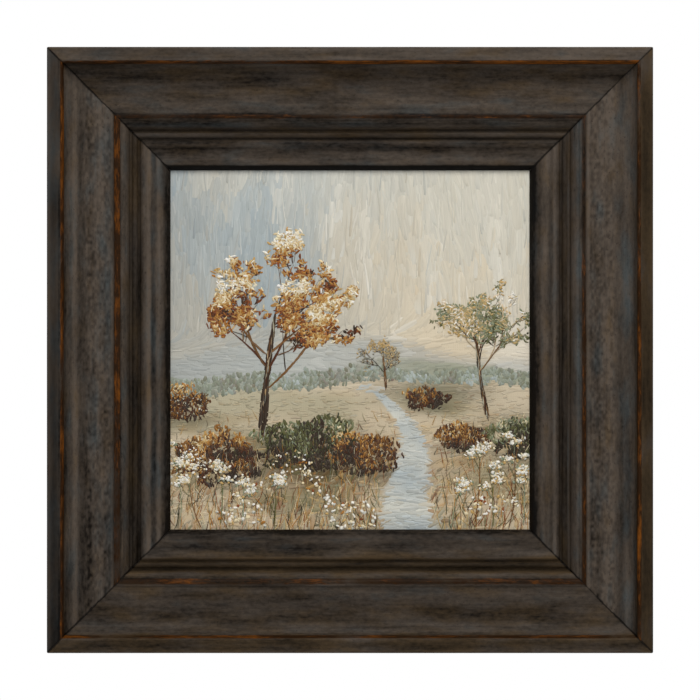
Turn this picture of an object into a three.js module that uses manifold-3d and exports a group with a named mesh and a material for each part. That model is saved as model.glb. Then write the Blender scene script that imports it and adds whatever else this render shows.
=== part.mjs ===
// A square picture on stretched canvas, in a wide, stepped scoop frame of mitred wood, ready to hang.
//
// Millimetres, +Z up. The picture faces -Y and its back is towards the wall, which is the plane Y = 0.
// The origin is where the wall's nail bears in the hanger's middle notch.
// Inside the `picture` group the middle of the frame's back plane is the origin: x is to the right,
// z is up, and h is the height above that back plane, towards the viewer, so that y = -h.
import * as THREE from "three";
import { mergeVertices } from "three/addons/utils/BufferGeometryUtils.js";
import Module from "manifold-3d";

const wasm = await Module();
wasm.setup();

// ---- Driving dimensions ----
const CANVAS_SIDE = 304.8; // a 12 inch canvas, over its cloth
const MOULDING_WIDTH = 101.6; // a 4 inch moulding, outer edge to sight edge
const RABBET_PLAY = 1.6; // round the canvas, inside the rabbet
const LIP = 5.5; // how far the sight edge laps over the rabbet
const RABBET_DEPTH = 20.4;
const MITRE_GAP = 0.3;
const GAP = 0.3; // between pieces that touch
const TIGHT = 0.1; // between a fastener's head and what it holds down
const PAST = 1; // how far a cutting tool runs on past what it cuts
const STANDOFF = 3.2; // the hanger and bumpers hold the frame this far off the wall
const HOOK_DROP = 40; // from the frame's top edge down to the hanger's middle notch

const FRAME_SIDE = CANVAS_SIDE + 2 * RABBET_PLAY - 2 * LIP + 2 * MOULDING_WIDTH;
const HALF_FRAME = FRAME_SIDE / 2;
const RABBET_WALL = MOULDING_WIDTH - LIP; // from the outer edge
const HALF_RABBET = HALF_FRAME - RABBET_WALL;

const CLOTH = 0.6;
const TURNOVER = 24; // cloth folded over the back of the bars
const CANVAS_DROP = RABBET_PLAY - GAP; // the canvas settles on the bottom rail's rabbet
const CANVAS_FRONT = RABBET_DEPTH - GAP;
const BAR_FRONT = CANVAS_FRONT - CLOTH - GAP;
const BAR_THICKNESS = 17;
const BAR_BACK = BAR_FRONT - BAR_THICKNESS;
const CANVAS_BACK = BAR_BACK - GAP - CLOTH;
const BAR_WIDTH = 38;
const BAR_SIDE = CANVAS_SIDE - 2 * (CLOTH + GAP);
const BAR_INNER = BAR_SIDE / 2 - BAR_WIDTH;

// Each side's pieces are made at the top, and each corner's at the top right, then turned clockwise, seen from
// the front, by as many quarter turns as its place in its list.
const SIDES = ["top", "right", "bottom", "left"];
const UPRIGHTS = ["right", "left"];
const CORNERS = ["top_right", "bottom_right", "bottom_left", "top_left"];

const FINISHES = {
  distressedWood: { color: 0x3f3831, roughness: 0.62, metalness: 0 },
  rawPine: { color: 0xc9a878, roughness: 0.8, metalness: 0 },
  paintedCanvas: { color: 0xb9b5a8, roughness: 0.75, metalness: 0 },
  zincSteel: { color: 0xb4b6b8, roughness: 0.35, metalness: 1 },
  brassedSteel: { color: 0xb99a56, roughness: 0.35, metalness: 1 },
  feltBumper: { color: 0x4a4642, roughness: 0.95, metalness: 0 },
};
const MATERIALS = Object.fromEntries(
  Object.entries(FINISHES).map(([name, look]) => [name, new THREE.MeshStandardMaterial({ name, ...look })]),
);

// ---- Solids ----

// A closed geometry as a solid that can be joined and cut.
function solid(geometry) {
  const bare = geometry.clone();
  bare.deleteAttribute("normal");
  bare.deleteAttribute("uv");
  const merged = mergeVertices(bare, 1e-4);
  return new wasm.Manifold(
    new wasm.Mesh({
      numProp: 3,
      vertProperties: merged.attributes.position.array,
      triVerts: new Uint32Array(merged.index.array),
    }),
  );
}

function geometryOf(made) {
  const { vertProperties, triVerts } = made.getMesh();
  const geometry = new THREE.BufferGeometry();
  geometry.setAttribute("position", new THREE.BufferAttribute(vertProperties, 3));
  geometry.setIndex(new THREE.BufferAttribute(triVerts, 1));
  return geometry;
}

function cut(body, ...tools) {
  return tools.reduce((left, tool) => left.subtract(tool), body);
}

function outline(points) {
  return new THREE.Shape(points.map(([a, b]) => new THREE.Vector2(a, b)));
}

function extrude(shape, depth) {
  return new THREE.ExtrudeGeometry(shape, { depth, bevelEnabled: false, steps: 1, curveSegments: 8 });
}

// An outline drawn in (x, z), carried from height low to height high.
function standing(shape, low, high) {
  return extrude(shape, high - low).rotateX(Math.PI / 2).translate(0, -low, 0);
}

// An outline drawn in (x, h), carried along z, with its middle at z = at.
function across(shape, width, at) {
  return extrude(shape, width).rotateX(Math.PI).translate(0, 0, at + width / 2);
}

// An outline drawn in (z, h), carried along x, with its middle at x = 0.
function along(shape, width) {
  const turn = new THREE.Matrix4().set(0, 0, 1, 0, 0, -1, 0, 0, 1, 0, 0, 0, 0, 0, 0, 1);
  return extrude(shape, width).applyMatrix4(turn).translate(-width / 2, 0, 0);
}

// A block between two corners, each given as (x, z, h).
function block([xa, za, ha], [xb, zb, hb]) {
  const box = new THREE.BoxGeometry(xb - xa, hb - ha, zb - za);
  return box.translate((xa + xb) / 2, -(ha + hb) / 2, (za + zb) / 2);
}

// A round piece about the h axis: points are (radius, h), from its deepest point to its back.
function turned(points, segments = 24) {
  return new THREE.LatheGeometry(points.map(([r, h]) => new THREE.Vector2(r, -h)), segments);
}

// A plain round hole at (x, z), from low to high.
function hole(radius, x, z, low, high) {
  const profile = [[0, high], [radius, high], [radius, low], [0, low]];
  return solid(turned(profile, 16).translate(x, 0, z));
}

// A side of a mitred square, whose outer side is given: its section is drawn in (u, h), with u measured from
// the outer edge to the inside. It is made as the top side; the others are this one turned about Y.
function mitredSide(section, side) {
  const geometry = extrude(section, 1);
  const position = geometry.attributes.position;
  const endGap = MITRE_GAP / Math.SQRT2;
  for (let i = 0; i < position.count; i += 1) {
    const [u, h, t] = [position.getX(i), position.getY(i), position.getZ(i)];
    position.setXYZ(i, (1 - 2 * t) * (side / 2 - u - endGap), -h, side / 2 - u);
  }
  return geometry;
}

// ---- The frame's moulding ----

// From the outer back corner up the outer side, over the rim, down the scoop and its steps to the sight edge,
// and back round the rabbet. Each arris that the finish is worn from is rounded.
function mouldingSection() {
  const s = new THREE.Shape();
  s.moveTo(1.2, 0);
  s.lineTo(0, 1.2);
  s.lineTo(0, 44.6);
  s.quadraticCurveTo(0, 46.4, 1.8, 47.0); // outer arris
  s.bezierCurveTo(4.6, 48.0, 7.4, 49.4, 9.8, 50.4); // rim, falling outwards
  s.quadraticCurveTo(12.9, 51.4, 13.4, 48.4); // worn inner arris of the rim
  s.bezierCurveTo(14.6, 40.6, 20.5, 35.2, 31.0, 33.6); // scoop
  s.bezierCurveTo(38.0, 32.6, 47.0, 33.0, 54.2, 35.0);
  s.bezierCurveTo(55.2, 37.2, 59.6, 37.4, 60.9, 35.2); // worn bead
  s.bezierCurveTo(63.4, 34.4, 66.2, 31.6, 67.8, 28.8); // bevel
  s.lineTo(68.2, 27.2); // quirk
  s.lineTo(69.6, 27.4);
  s.bezierCurveTo(70.4, 30.0, 74.0, 30.0, 74.8, 27.4); // small bead
  s.lineTo(75.1, 26.0); // quirk
  s.lineTo(76.2, 26.2);
  s.bezierCurveTo(77.4, 29.6, 80.8, 29.2, 83.0, 27.6); // inner torus
  s.bezierCurveTo(85.0, 26.0, 88.2, 25.8, 90.6, 26.7); // hollow
  s.bezierCurveTo(92.6, 27.5, 94.4, 27.6, 95.8, 27.1); // sight bead
  s.bezierCurveTo(98.2, 26.4, 100.6, 24.0, MOULDING_WIDTH, 21.4); // lip, thin at the sight edge
  s.lineTo(MOULDING_WIDTH, RABBET_DEPTH);
  s.lineTo(RABBET_WALL, RABBET_DEPTH);
  s.lineTo(RABBET_WALL, 0);
  return s;
}

// ---- V-nails, driven into the back of each mitre ----
const V_NAIL = { leg: 7, thickness: 0.8, sunk: 0.3, depth: 10, fromCorner: { outer: 24, inner: 72 } };

// The nail's two legs run along the two rails that it joins: from behind, it is an L with its elbow outwards.
function vNailOutline(fromCorner, grow) {
  const corner = HALF_FRAME - fromCorner;
  const [out, inn] = [corner + grow, corner - V_NAIL.thickness - grow];
  const end = corner - V_NAIL.leg - grow;
  return outline([[out, out], [end, out], [end, inn], [inn, inn], [inn, end], [out, end]]);
}

function vNail(fromCorner) {
  return standing(vNailOutline(fromCorner, 0), V_NAIL.sunk, V_NAIL.sunk + V_NAIL.depth);
}

// The slots that one rail needs: those at its left end are those at its right end, turned about the middle.
function vNailSlots() {
  return Object.values(V_NAIL.fromCorner).flatMap((fromCorner) => {
    const slot = standing(vNailOutline(fromCorner, GAP), -PAST, V_NAIL.sunk + V_NAIL.depth + GAP);
    return [solid(slot), solid(slot.clone().rotateY(-Math.PI / 2))];
  });
}

// ---- Clips and screws, which hold the canvas in the rabbet ----
const CLIP = { width: 16, thickness: 1.2, onFrame: 24, onCanvas: 14, screwFromWall: 13, hole: 2.1 };
const JOGGLE = { start: 0.4, run: 1.8, lean: 0.6 }; // the clip's step down from the frame to the canvas
const SCREW = { shank: 1.6, head: 3.4, headHeight: 1.5, length: 12.5, point: 4.6, tip: 2.2 };
const CROSS = { length: 3.8, width: 0.9, depth: 0.9 }; // the recess in the screw's head
const CLIP_FRONT = -GAP; // its tab lies on the frame's back plane
const CLIP_BACK = CLIP_FRONT - CLIP.thickness;
const SCREW_Z = HALF_RABBET + CLIP.screwFromWall;

function clip() {
  const foot = CANVAS_BACK - GAP;
  const [outer, inner] = [HALF_RABBET + CLIP.onFrame, HALF_RABBET - CLIP.onCanvas];
  const step = HALF_RABBET - JOGGLE.start;
  const side = outline([
    [outer, CLIP_BACK],
    [outer, CLIP_FRONT],
    [step, CLIP_FRONT],
    [step - JOGGLE.run, foot],
    [inner, foot],
    [inner, foot - CLIP.thickness],
    [step - JOGGLE.run - JOGGLE.lean, foot - CLIP.thickness],
    [step - JOGGLE.lean, CLIP_BACK],
  ]);
  const screwHole = hole(CLIP.hole, 0, SCREW_Z, CLIP_BACK - PAST, CLIP_FRONT + PAST);
  return geometryOf(cut(solid(along(side, CLIP.width)), screwHole));
}

function screw() {
  const under = CLIP_BACK - TIGHT; // the underside of its head
  const top = under - SCREW.headHeight;
  const body = turned([
    [0, SCREW.length],
    [SCREW.shank * 0.55, SCREW.length - SCREW.tip],
    [SCREW.shank, SCREW.length - SCREW.point],
    [SCREW.shank, under],
    [SCREW.head, under],
    [SCREW.head * 0.94, under - SCREW.headHeight * 0.55],
    [SCREW.head * 0.68, under - SCREW.headHeight * 0.92],
    [SCREW.head * 0.35, top],
    [0, top],
  ]);
  const [long, short, floor] = [CROSS.length / 2, CROSS.width / 2, top + CROSS.depth];
  const made = cut(
    solid(body),
    solid(block([-long, -short, top - PAST], [long, short, floor])),
    solid(block([-short, -long, top - PAST], [short, long, floor])),
  );
  return geometryOf(made).translate(0, 0, SCREW_Z);
}

// ---- The sawtooth hanger and its two nails, on the top rail ----
const HANGER = { length: 64, height: 13, thickness: 1, raised: 36, ramp: 2, lean: 0.5, nailAt: 27 };
const TEETH = { notches: 7, pitch: 4, depth: 2.6, overlap: 0.4 };
const NAIL = { shank: 0.8, head: 2, headHeight: 0.7, length: 11, point: 2 };
const HOOK_Z = HALF_FRAME - HOOK_DROP;
const HANGER_FOOT = HOOK_Z - TEETH.depth; // its lower, toothed edge
const HANGER_MIDDLE = HANGER_FOOT + HANGER.height / 2;
const HANGER_FRONT = -TIGHT;
const HANGER_BACK = HANGER_FRONT - HANGER.thickness; // of its two nailed ends

// A notch that a nail in the wall seats in, widening downwards from its apex.
function notch(i) {
  const x = (i - (TEETH.notches - 1) / 2) * TEETH.pitch;
  const mouth = HANGER_FOOT - PAST;
  const reach = (TEETH.pitch / 2 + TEETH.overlap) * (1 + PAST / TEETH.depth);
  const triangle = outline([[x, HOOK_Z], [x - reach, mouth], [x + reach, mouth]]);
  return solid(standing(triangle, -STANDOFF - PAST, HANGER_BACK));
}

// A strip whose middle is bowed back from the frame, so that the wall's nail can get behind its teeth.
function hanger() {
  const [flat, shoulder] = [HANGER.raised / 2, HANGER.raised / 2 + HANGER.ramp];
  const rightHalf = [
    [flat, -STANDOFF],
    [shoulder, HANGER_BACK],
    [HANGER.length / 2, HANGER_BACK],
    [HANGER.length / 2, HANGER_FRONT],
    [shoulder - HANGER.lean, HANGER_FRONT],
    [flat - HANGER.lean, HANGER.thickness - STANDOFF],
  ];
  const leftHalf = rightHalf.map(([x, h]) => [-x, h]).reverse();
  const strip = solid(across(outline([...rightHalf, ...leftHalf]), HANGER.height, HANGER_MIDDLE));
  const notches = Array.from({ length: TEETH.notches }, (_, i) => notch(i));
  return geometryOf(cut(strip, ...notches, ...hangerNailHoles(HANGER_BACK - PAST, HANGER_FRONT + PAST)));
}

function hangerNailHoles(low, high) {
  return [-1, 1].map((side) => hole(NAIL.shank + GAP, side * HANGER.nailAt, HANGER_MIDDLE, low, high));
}

function hangerNail() {
  const under = HANGER_BACK - TIGHT;
  const profile = [
    [0, NAIL.length],
    [NAIL.shank, NAIL.length - NAIL.point],
    [NAIL.shank, under],
    [NAIL.head, under],
    [NAIL.head * 0.8, under - NAIL.headHeight],
    [0, under - NAIL.headHeight],
  ];
  return turned(profile, 16);
}

// ---- Bumpers, stuck on the bottom rail near its ends ----
const BUMPER = { radius: 6, bevel: 0.9, fromSide: 30, fromBottom: 13 };

function bumper() {
  return turned([
    [0, -TIGHT],
    [BUMPER.radius, -TIGHT],
    [BUMPER.radius, BUMPER.bevel - STANDOFF],
    [BUMPER.radius - BUMPER.bevel, -STANDOFF],
    [0, -STANDOFF],
  ]);
}

// ---- The rails, drilled and slotted for what is driven into them ----
function rail(side) {
  const made = cut(
    solid(mitredSide(mouldingSection(), FRAME_SIDE)),
    ...vNailSlots(),
    hole(SCREW.shank + GAP, 0, SCREW_Z, -PAST, SCREW.length + GAP),
  );
  return geometryOf(side === "top" ? cut(made, ...hangerNailHoles(-PAST, NAIL.length + GAP)) : made);
}

// ---- The stretcher bars, with a bridle joint and two keys at each corner ----
const TONGUE = { from: 120, to: 144, root: 112, low: BAR_BACK + 5.5, high: BAR_BACK + 11 };
const KEY = { width: 12, tip: 7.5, fromCorner: 8.5, out: 7, in: 14, low: BAR_BACK + 6.3, thickness: 3.4 };
const BAR_NOSE = { radius: 2, flat: 4.5, slope: 7.5, drop: 1.6, fall: 4.5 }; // its front, from outside in

function barSection() {
  const s = new THREE.Shape();
  s.moveTo(0, BAR_BACK);
  s.lineTo(0, BAR_FRONT - BAR_NOSE.radius);
  s.quadraticCurveTo(0, BAR_FRONT, BAR_NOSE.radius, BAR_FRONT); // the rounded edge that the cloth bends over
  s.lineTo(BAR_NOSE.flat, BAR_FRONT);
  s.lineTo(BAR_NOSE.slope, BAR_FRONT - BAR_NOSE.drop);
  s.lineTo(BAR_WIDTH, BAR_FRONT - BAR_NOSE.fall); // falls away behind the cloth
  s.lineTo(BAR_WIDTH, BAR_BACK);
  return s;
}

// The outline of the key, or of its slot, at the right end of the top bar.
function keyOutline(grow) {
  const near = BAR_INNER - KEY.fromCorner + grow;
  const far = near - KEY.width - 2 * grow;
  const [mouth, tip] = [BAR_INNER - KEY.out - grow, BAR_INNER + KEY.in + grow];
  return [[near, mouth], [near, tip], [near - KEY.tip - 2 * grow, tip], [far, mouth]];
}

// One key goes into each bar at a corner, so that the second is the first mirrored in the mitre.
function keyPair() {
  const first = keyOutline(0);
  const second = first.map(([x, z]) => [z, x]);
  return { a: first, b: second };
}

function key(points) {
  return standing(outline(points), KEY.low, KEY.low + KEY.thickness);
}

// The slots at both ends of a bar.
function keySlots() {
  const right = keyOutline(GAP);
  const left = right.map(([x, z]) => [-x, z]);
  const [low, high] = [KEY.low - GAP, KEY.low + KEY.thickness + GAP];
  return [right, left].map((points) => solid(standing(outline(points), low, high)));
}

// The blocks at both ends of a bar that its tongues are made of, or that its slots are cut by.
function tongueBlocks(grow, [x, z]) {
  const far = TONGUE.to + grow;
  const [low, high] = [TONGUE.low - grow, TONGUE.high + grow];
  return [block([x, z, low], [far, far, high]), block([-far, z, low], [-x, far, high])].map(solid);
}

// The upright bars carry the tongues, and the level bars the slots that take them.
function stretcherBar(isUpright) {
  const plain = solid(mitredSide(barSection(), BAR_SIDE));
  const jointed = isUpright
    ? tongueBlocks(0, [TONGUE.root, TONGUE.from]).reduce((bar, tongue) => bar.add(tongue), plain)
    : cut(plain, ...tongueBlocks(GAP, [TONGUE.from - GAP, TONGUE.root]));
  return geometryOf(cut(jointed, ...keySlots(), ...stapleHoles()));
}

// ---- Staples, four to a side ----
const STAPLE = { crown: 10, wire: 1.2, thickness: 0.6, legs: 6.5, point: 0.8, tilt: 0.2, fromEdge: 11 };
const STAPLES_AT = [-98, -40, 40, 98]; // along a side, clear of the clip in its middle
const STAPLE_BACK = CANVAS_BACK - 0.25; // the underside of its crown
const STAPLE_Z = CANVAS_SIDE / 2 - STAPLE.fromEdge;

function stapled(geometry, x) {
  return geometry.rotateY(Math.sign(x) * STAPLE.tilt).translate(x, 0, STAPLE_Z);
}

function staple(x) {
  const half = STAPLE.crown / 2;
  const inside = half - STAPLE.thickness;
  const tip = STAPLE_BACK + STAPLE.legs;
  const wire = outline([
    [-half, STAPLE_BACK - STAPLE.thickness],
    [-half, tip],
    [-inside, tip - STAPLE.point],
    [-inside, STAPLE_BACK],
    [inside, STAPLE_BACK],
    [inside, tip - STAPLE.point],
    [half, tip],
    [half, STAPLE_BACK - STAPLE.thickness],
  ]);
  return stapled(across(wire, STAPLE.wire, 0), x);
}

// The holes for both legs of each staple along the top side.
function stapleHoles() {
  const [thick, wide] = [STAPLE.thickness / 2 + GAP, STAPLE.wire / 2 + GAP];
  const leg = (STAPLE.crown - STAPLE.thickness) / 2;
  const [low, high] = [STAPLE_BACK - PAST, STAPLE_BACK + STAPLE.legs + GAP];
  return STAPLES_AT.flatMap((x) =>
    [-leg, leg].map((at) => solid(stapled(block([at - thick, -wide, low], [at + thick, wide, high]), x))),
  );
}

// ---- The cloth: its face, its four wrapped sides and the strip folded over the back ----
function canvas() {
  const outer = CANVAS_SIDE / 2;
  const inner = outer - CLOTH;
  const open = outer - TURNOVER;
  const whole = solid(block([-outer, -outer, CANVAS_BACK], [outer, outer, CANVAS_FRONT]));
  const space = solid(block([-inner, -inner, CANVAS_BACK + CLOTH], [inner, inner, CANVAS_FRONT - CLOTH]));
  const back = solid(block([-open, -open, CANVAS_BACK - PAST], [open, open, CANVAS_BACK + CLOTH + PAST]));
  const holes = SIDES.flatMap((_, i) => stapleHoles().map((made) => made.rotate([0, 90 * i, 0])));
  return geometryOf(cut(whole, space, back, ...holes));
}

// ---- Assembly ----
const picture = new THREE.Group();
picture.position.set(0, -STANDOFF, -HOOK_Z);
const stretchedCanvas = new THREE.Group();
stretchedCanvas.position.z = -CANVAS_DROP;
picture.add(stretchedCanvas);

function add(group, name, geometry, finish, quarterTurns = 0) {
  const mesh = new THREE.Mesh(geometry, MATERIALS[finish]);
  mesh.name = name;
  mesh.rotation.y = (quarterTurns * Math.PI) / 2;
  group.add(mesh);
  return mesh;
}

SIDES.forEach((side, i) => {
  add(picture, `rail_${side}`, rail(side), "distressedWood", i);
  add(picture, `clip_${side}`, clip(), "zincSteel", i);
  add(picture, `clip_screw_${side}`, screw(), "zincSteel", i);
  add(stretchedCanvas, `stretcher_bar_${side}`, stretcherBar(UPRIGHTS.includes(side)), "rawPine", i);
  STAPLES_AT.forEach((x, n) => add(stretchedCanvas, `staple_${side}_${n + 1}`, staple(x), "zincSteel", i));
});

CORNERS.forEach((corner, i) => {
  for (const [place, fromCorner] of Object.entries(V_NAIL.fromCorner))
    add(picture, `v_nail_${corner}_${place}`, vNail(fromCorner), "zincSteel", i);
  for (const [which, points] of Object.entries(keyPair()))
    add(stretchedCanvas, `corner_key_${corner}_${which}`, key(points), "rawPine", i);
});

for (const [side, sign] of [["left", -1], ["right", 1]]) {
  const nail = add(picture, `hanger_nail_${side}`, hangerNail(), "brassedSteel");
  nail.position.set(sign * HANGER.nailAt, 0, HANGER_MIDDLE);
  const foot = add(picture, `wall_bumper_${side}`, bumper(), "feltBumper");
  foot.position.set(sign * (HALF_FRAME - BUMPER.fromSide), 0, BUMPER.fromBottom - HALF_FRAME);
}

add(picture, "sawtooth_hanger", hanger(), "brassedSteel");
add(stretchedCanvas, "canvas", canvas(), "paintedCanvas");

export default picture;
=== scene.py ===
from math import ceil, comb, cos, pi, radians, sin

import bpy
import numpy as np
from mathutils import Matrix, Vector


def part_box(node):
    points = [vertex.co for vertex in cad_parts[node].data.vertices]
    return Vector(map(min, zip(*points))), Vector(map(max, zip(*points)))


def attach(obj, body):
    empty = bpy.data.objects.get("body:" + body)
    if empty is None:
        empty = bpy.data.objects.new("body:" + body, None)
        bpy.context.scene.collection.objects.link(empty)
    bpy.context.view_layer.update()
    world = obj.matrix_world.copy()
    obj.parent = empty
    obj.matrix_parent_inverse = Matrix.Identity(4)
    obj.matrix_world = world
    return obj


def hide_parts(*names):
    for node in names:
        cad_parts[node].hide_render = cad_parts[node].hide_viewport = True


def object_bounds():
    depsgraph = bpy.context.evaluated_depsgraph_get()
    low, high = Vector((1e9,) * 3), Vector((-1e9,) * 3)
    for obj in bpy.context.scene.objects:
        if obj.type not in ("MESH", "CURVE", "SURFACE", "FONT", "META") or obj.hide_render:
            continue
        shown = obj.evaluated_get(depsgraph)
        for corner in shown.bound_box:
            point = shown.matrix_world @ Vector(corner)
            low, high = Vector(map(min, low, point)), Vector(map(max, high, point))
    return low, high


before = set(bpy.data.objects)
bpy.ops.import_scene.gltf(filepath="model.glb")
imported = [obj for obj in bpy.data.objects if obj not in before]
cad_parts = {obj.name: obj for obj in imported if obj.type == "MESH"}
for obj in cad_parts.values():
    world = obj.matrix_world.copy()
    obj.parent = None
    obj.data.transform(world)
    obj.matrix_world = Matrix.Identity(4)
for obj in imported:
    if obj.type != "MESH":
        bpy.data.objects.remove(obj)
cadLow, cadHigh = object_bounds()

# A square picture on stretched canvas in a wide, dark, distressed scoop frame, seen straight from the front.
# x is to the right, z is up, and the picture faces -y. Along a rail, u is measured from the frame's outer
# edge towards the picture and h from the frame's back plane towards the viewer, both in millimetres.

mm = 0.001
frameHalf = cadHigh.x
frameMiddle = (cadLow.z + cadHigh.z) / 2
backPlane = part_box("rail_top")[1].y
canvasLow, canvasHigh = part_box("canvas")
canvasHalf = (canvasHigh.x - canvasLow.x) / 2
canvasDepth = canvasHigh.y - canvasLow.y
canvasMiddle = (canvasLow.z + canvasHigh.z) / 2
print("frame read:", len(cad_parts), "nodes")


def fromHex(code):  # an sRGB hex value as linear RGBA
    channels = [int(code[i:i + 2], 16) / 255 for i in (0, 2, 4)]
    return [c / 12.92 if c <= 0.04045 else ((c + 0.055) / 1.055) ** 2.4 for c in channels] + [1.0]


def setInputs(tree, node, inputs):  # each is a number, a list, a hex colour, or the output that feeds it
    for key, value in inputs.items():
        if isinstance(value, bpy.types.NodeSocket):
            tree.links.new(value, node.inputs[key])
        else:
            node.inputs[key].default_value = fromHex(value) if isinstance(value, str) else value


def addNode(tree, kind, inputs=(), output=0, **settings):  # a node with its settings and links: one output
    node = tree.nodes.new("ShaderNode" + kind)
    for key, value in settings.items():
        setattr(node, key, value)
    setInputs(tree, node, inputs if isinstance(inputs, dict) else dict(enumerate(inputs)))
    return node.outputs[output]


def newFinish(name, inputs):  # a material with its Principled shader
    finish = bpy.data.materials.new(name)
    finish.use_nodes = True
    shader = finish.node_tree.nodes["Principled BSDF"]
    setInputs(finish.node_tree, shader, inputs)
    return finish, finish.node_tree, shader


def drawPatterns(tree, place, patterns):  # cloudy patterns: sizes in mm, start, detail, roughness
    drawn = []
    for sizes, start, detail, roughness in patterns:
        scale = [1 / (size * mm) for size in sizes]
        scaled = addNode(tree, "Mapping", {"Vector": place, "Location": start, "Scale": scale})
        drawn.append(addNode(tree, "TexNoise", {"Vector": scaled, "Scale": 1, "Detail": detail,
                                                "Roughness": roughness}))
    return drawn


def swayed(tree, value, *patterns):  # each pattern, as it goes from low to high, adds from least to most
    for pattern, low, high, least, most in patterns:
        value = addNode(tree, "Math", (value, addNode(tree, "MapRange", (pattern, low, high, least, most))))
    return value


def layered(tree, colour, *layers):  # each layer covers from 0 to most, as its value goes from low to high
    for value, low, high, most, over in layers:
        share = addNode(tree, "MapRange", (value, low, high, 0, most))
        colour = addNode(tree, "Mix", {0: share, 6: colour, 7: over}, 2, data_type="RGBA")
    return colour


def latticeNoise(a, b, seed):  # random heights at whole-number places joined by smooth steps, from -1 to 1
    a, b = np.broadcast_arrays(a, b)
    a0, b0 = np.floor(a), np.floor(b)
    fa, fb = a - a0, b - b0
    fa, fb = fa * fa * (3 - 2 * fa), fb * fb * (3 - 2 * fb)

    def height(i, j):  # the part after the point of a steep sine, which is as good as random
        return np.modf(np.abs(np.sin((a0 + i) * 127.1 + (b0 + j) * 311.7 + seed * 74.7) * 43758.5453))[0]

    low = height(0, 0) * (1 - fa) + height(1, 0) * fa
    high = height(0, 1) * (1 - fa) + height(1, 1) * fa
    return 2 * (low * (1 - fb) + high * fb) - 1


def smoothStep(value, low, high):  # 0 below low, 1 above high, an S curve between
    t = np.clip((value - low) / (high - low), 0, 1)
    return t * t * (3 - 2 * t)


def bandOf(value, low, high, soft):  # 1 from low to high, 0 outside, with soft edges
    return smoothStep(value, low - soft, low + soft) * (1 - smoothStep(value, high - soft, high + soft))


def tubeQuads(rows, columns):  # the faces between rings of points, row by row
    r = np.arange(rows - 1)[:, None] * columns
    c = np.arange(columns)[None, :]
    c2 = (c + 1) % columns
    return np.stack([r + c, r + c2, r + columns + c2, r + columns + c], axis=-1).reshape(-1, 4)


def newPiece(name, points, quads, caps=(), finish=None, sharp=40):  # a mesh from points in metres
    mesh = bpy.data.meshes.new(name)
    loops = np.concatenate([np.ravel(quads), *[np.ravel(cap) for cap in caps]]).astype(np.int32)
    sizes = np.concatenate([np.full(len(quads), 4), [len(cap) for cap in caps]]).astype(np.int32)
    mesh.vertices.add(len(points))
    mesh.vertices.foreach_set("co", np.asarray(points, np.float32).ravel())
    mesh.loops.add(len(loops))
    mesh.loops.foreach_set("vertex_index", loops)
    mesh.polygons.add(len(sizes))
    mesh.polygons.foreach_set("loop_start", np.concatenate([[0], np.cumsum(sizes)[:-1]]).astype(np.int32))
    mesh.polygons.foreach_set("use_smooth", np.ones(len(sizes), bool))
    mesh.update(calc_edges=True)
    mesh.validate()
    mesh.set_sharp_from_angle(angle=radians(sharp))
    if finish:
        mesh.materials.append(finish)
    piece = bpy.data.objects.new(name, mesh)
    bpy.context.scene.collection.objects.link(piece)
    return piece


def setNumbers(piece, name, values):  # one number for each point
    layer = piece.data.attributes.new(name, "FLOAT", "POINT")
    layer.data.foreach_set("value", np.ravel(values).astype(np.float32))


def setColours(piece, name, values):  # one linear colour for each point
    rgba = np.concatenate([values, np.ones((len(values), 1))], axis=1).astype(np.float32)
    piece.data.attributes.new(name, "FLOAT_COLOR", "POINT").data.foreach_set("color", rgba.ravel())


def setPlaces(piece, name, values):  # a UV map from one pair for each point
    corner = np.zeros(len(piece.data.loops), np.int32)
    piece.data.loops.foreach_get("vertex_index", corner)
    layer = piece.data.uv_layers.new(name=name)
    layer.data.foreach_set("uv", np.asarray(values, np.float32)[corner].ravel())


# The frame is four mitred rails of distressed moulding.
moulding = {
    "width": 101.6,       # mm, four inches
    "steps": 400,         # along a rail
    "spacing": 0.82,      # mm between points across the face
    "coarse": 4.0,        # mm between points across the back and the rabbet
    "endGap": 0.3 / 2 ** 0.5,        # mm that each end stops short, so that a mitre is 0.3 mm open
    "mitreRows": (0.0012, 0.0028),   # two more rows of points at each mitre, in shares of the half rail
    "mitreSoftness": 0.2,            # mm that the face falls at the very joint
    "mitreRound": 0.4,               # mm over which it falls
    "mitreLine": 0.75,               # mm over which the stain darkens towards the joint
    "faceFrom": 20.6,                # mm, the h that is above the rabbet
    "waviness": 0.16,     # mm, of the hand-rubbed face
    "grain": 0.04,        # mm
    "outerRun": 47,       # mm of the section that lie on the outer side, which stays nearly flat
    "lipRun": 190,        # mm of the section up to the lip
    # Dents and worm holes: how many, and from what to what size and depth (mm).
    "marks": [(46, (0.9, 2.6), (0.12, 0.42)), (12, (0.55, 0.8), (0.7, 1.1))],
    "raised": (0.7, 0.1),  # mm of standing out that count in full, and how much lighter that is
    # Stretches that take the stain in their own way: first and last u, and the softness of their edges, mm.
    "hollows": (66.5, 77.0, 2.2),
    "smallBead": (70.2, 74.8, 0.8),
    "mainBead": (54.8, 61.4, 0.9),
    "scoop": (31, 53, 3),
    "rim": (-9, 9.8, 1.2),
    "evenBeads": (66, 78, 2),
    "outerEdge": (0.2, 1.6, 0.5),
    "lipEnd": 99.4,
    "nailStrip": 0.8,     # mm, the V-nails' thickness
    "slotPlay": 0.12,     # mm of open slot round each V-nail
    "slotZone": (3, 12),  # mm: slots lie farther in than this, and nearer the back than this
}
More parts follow.
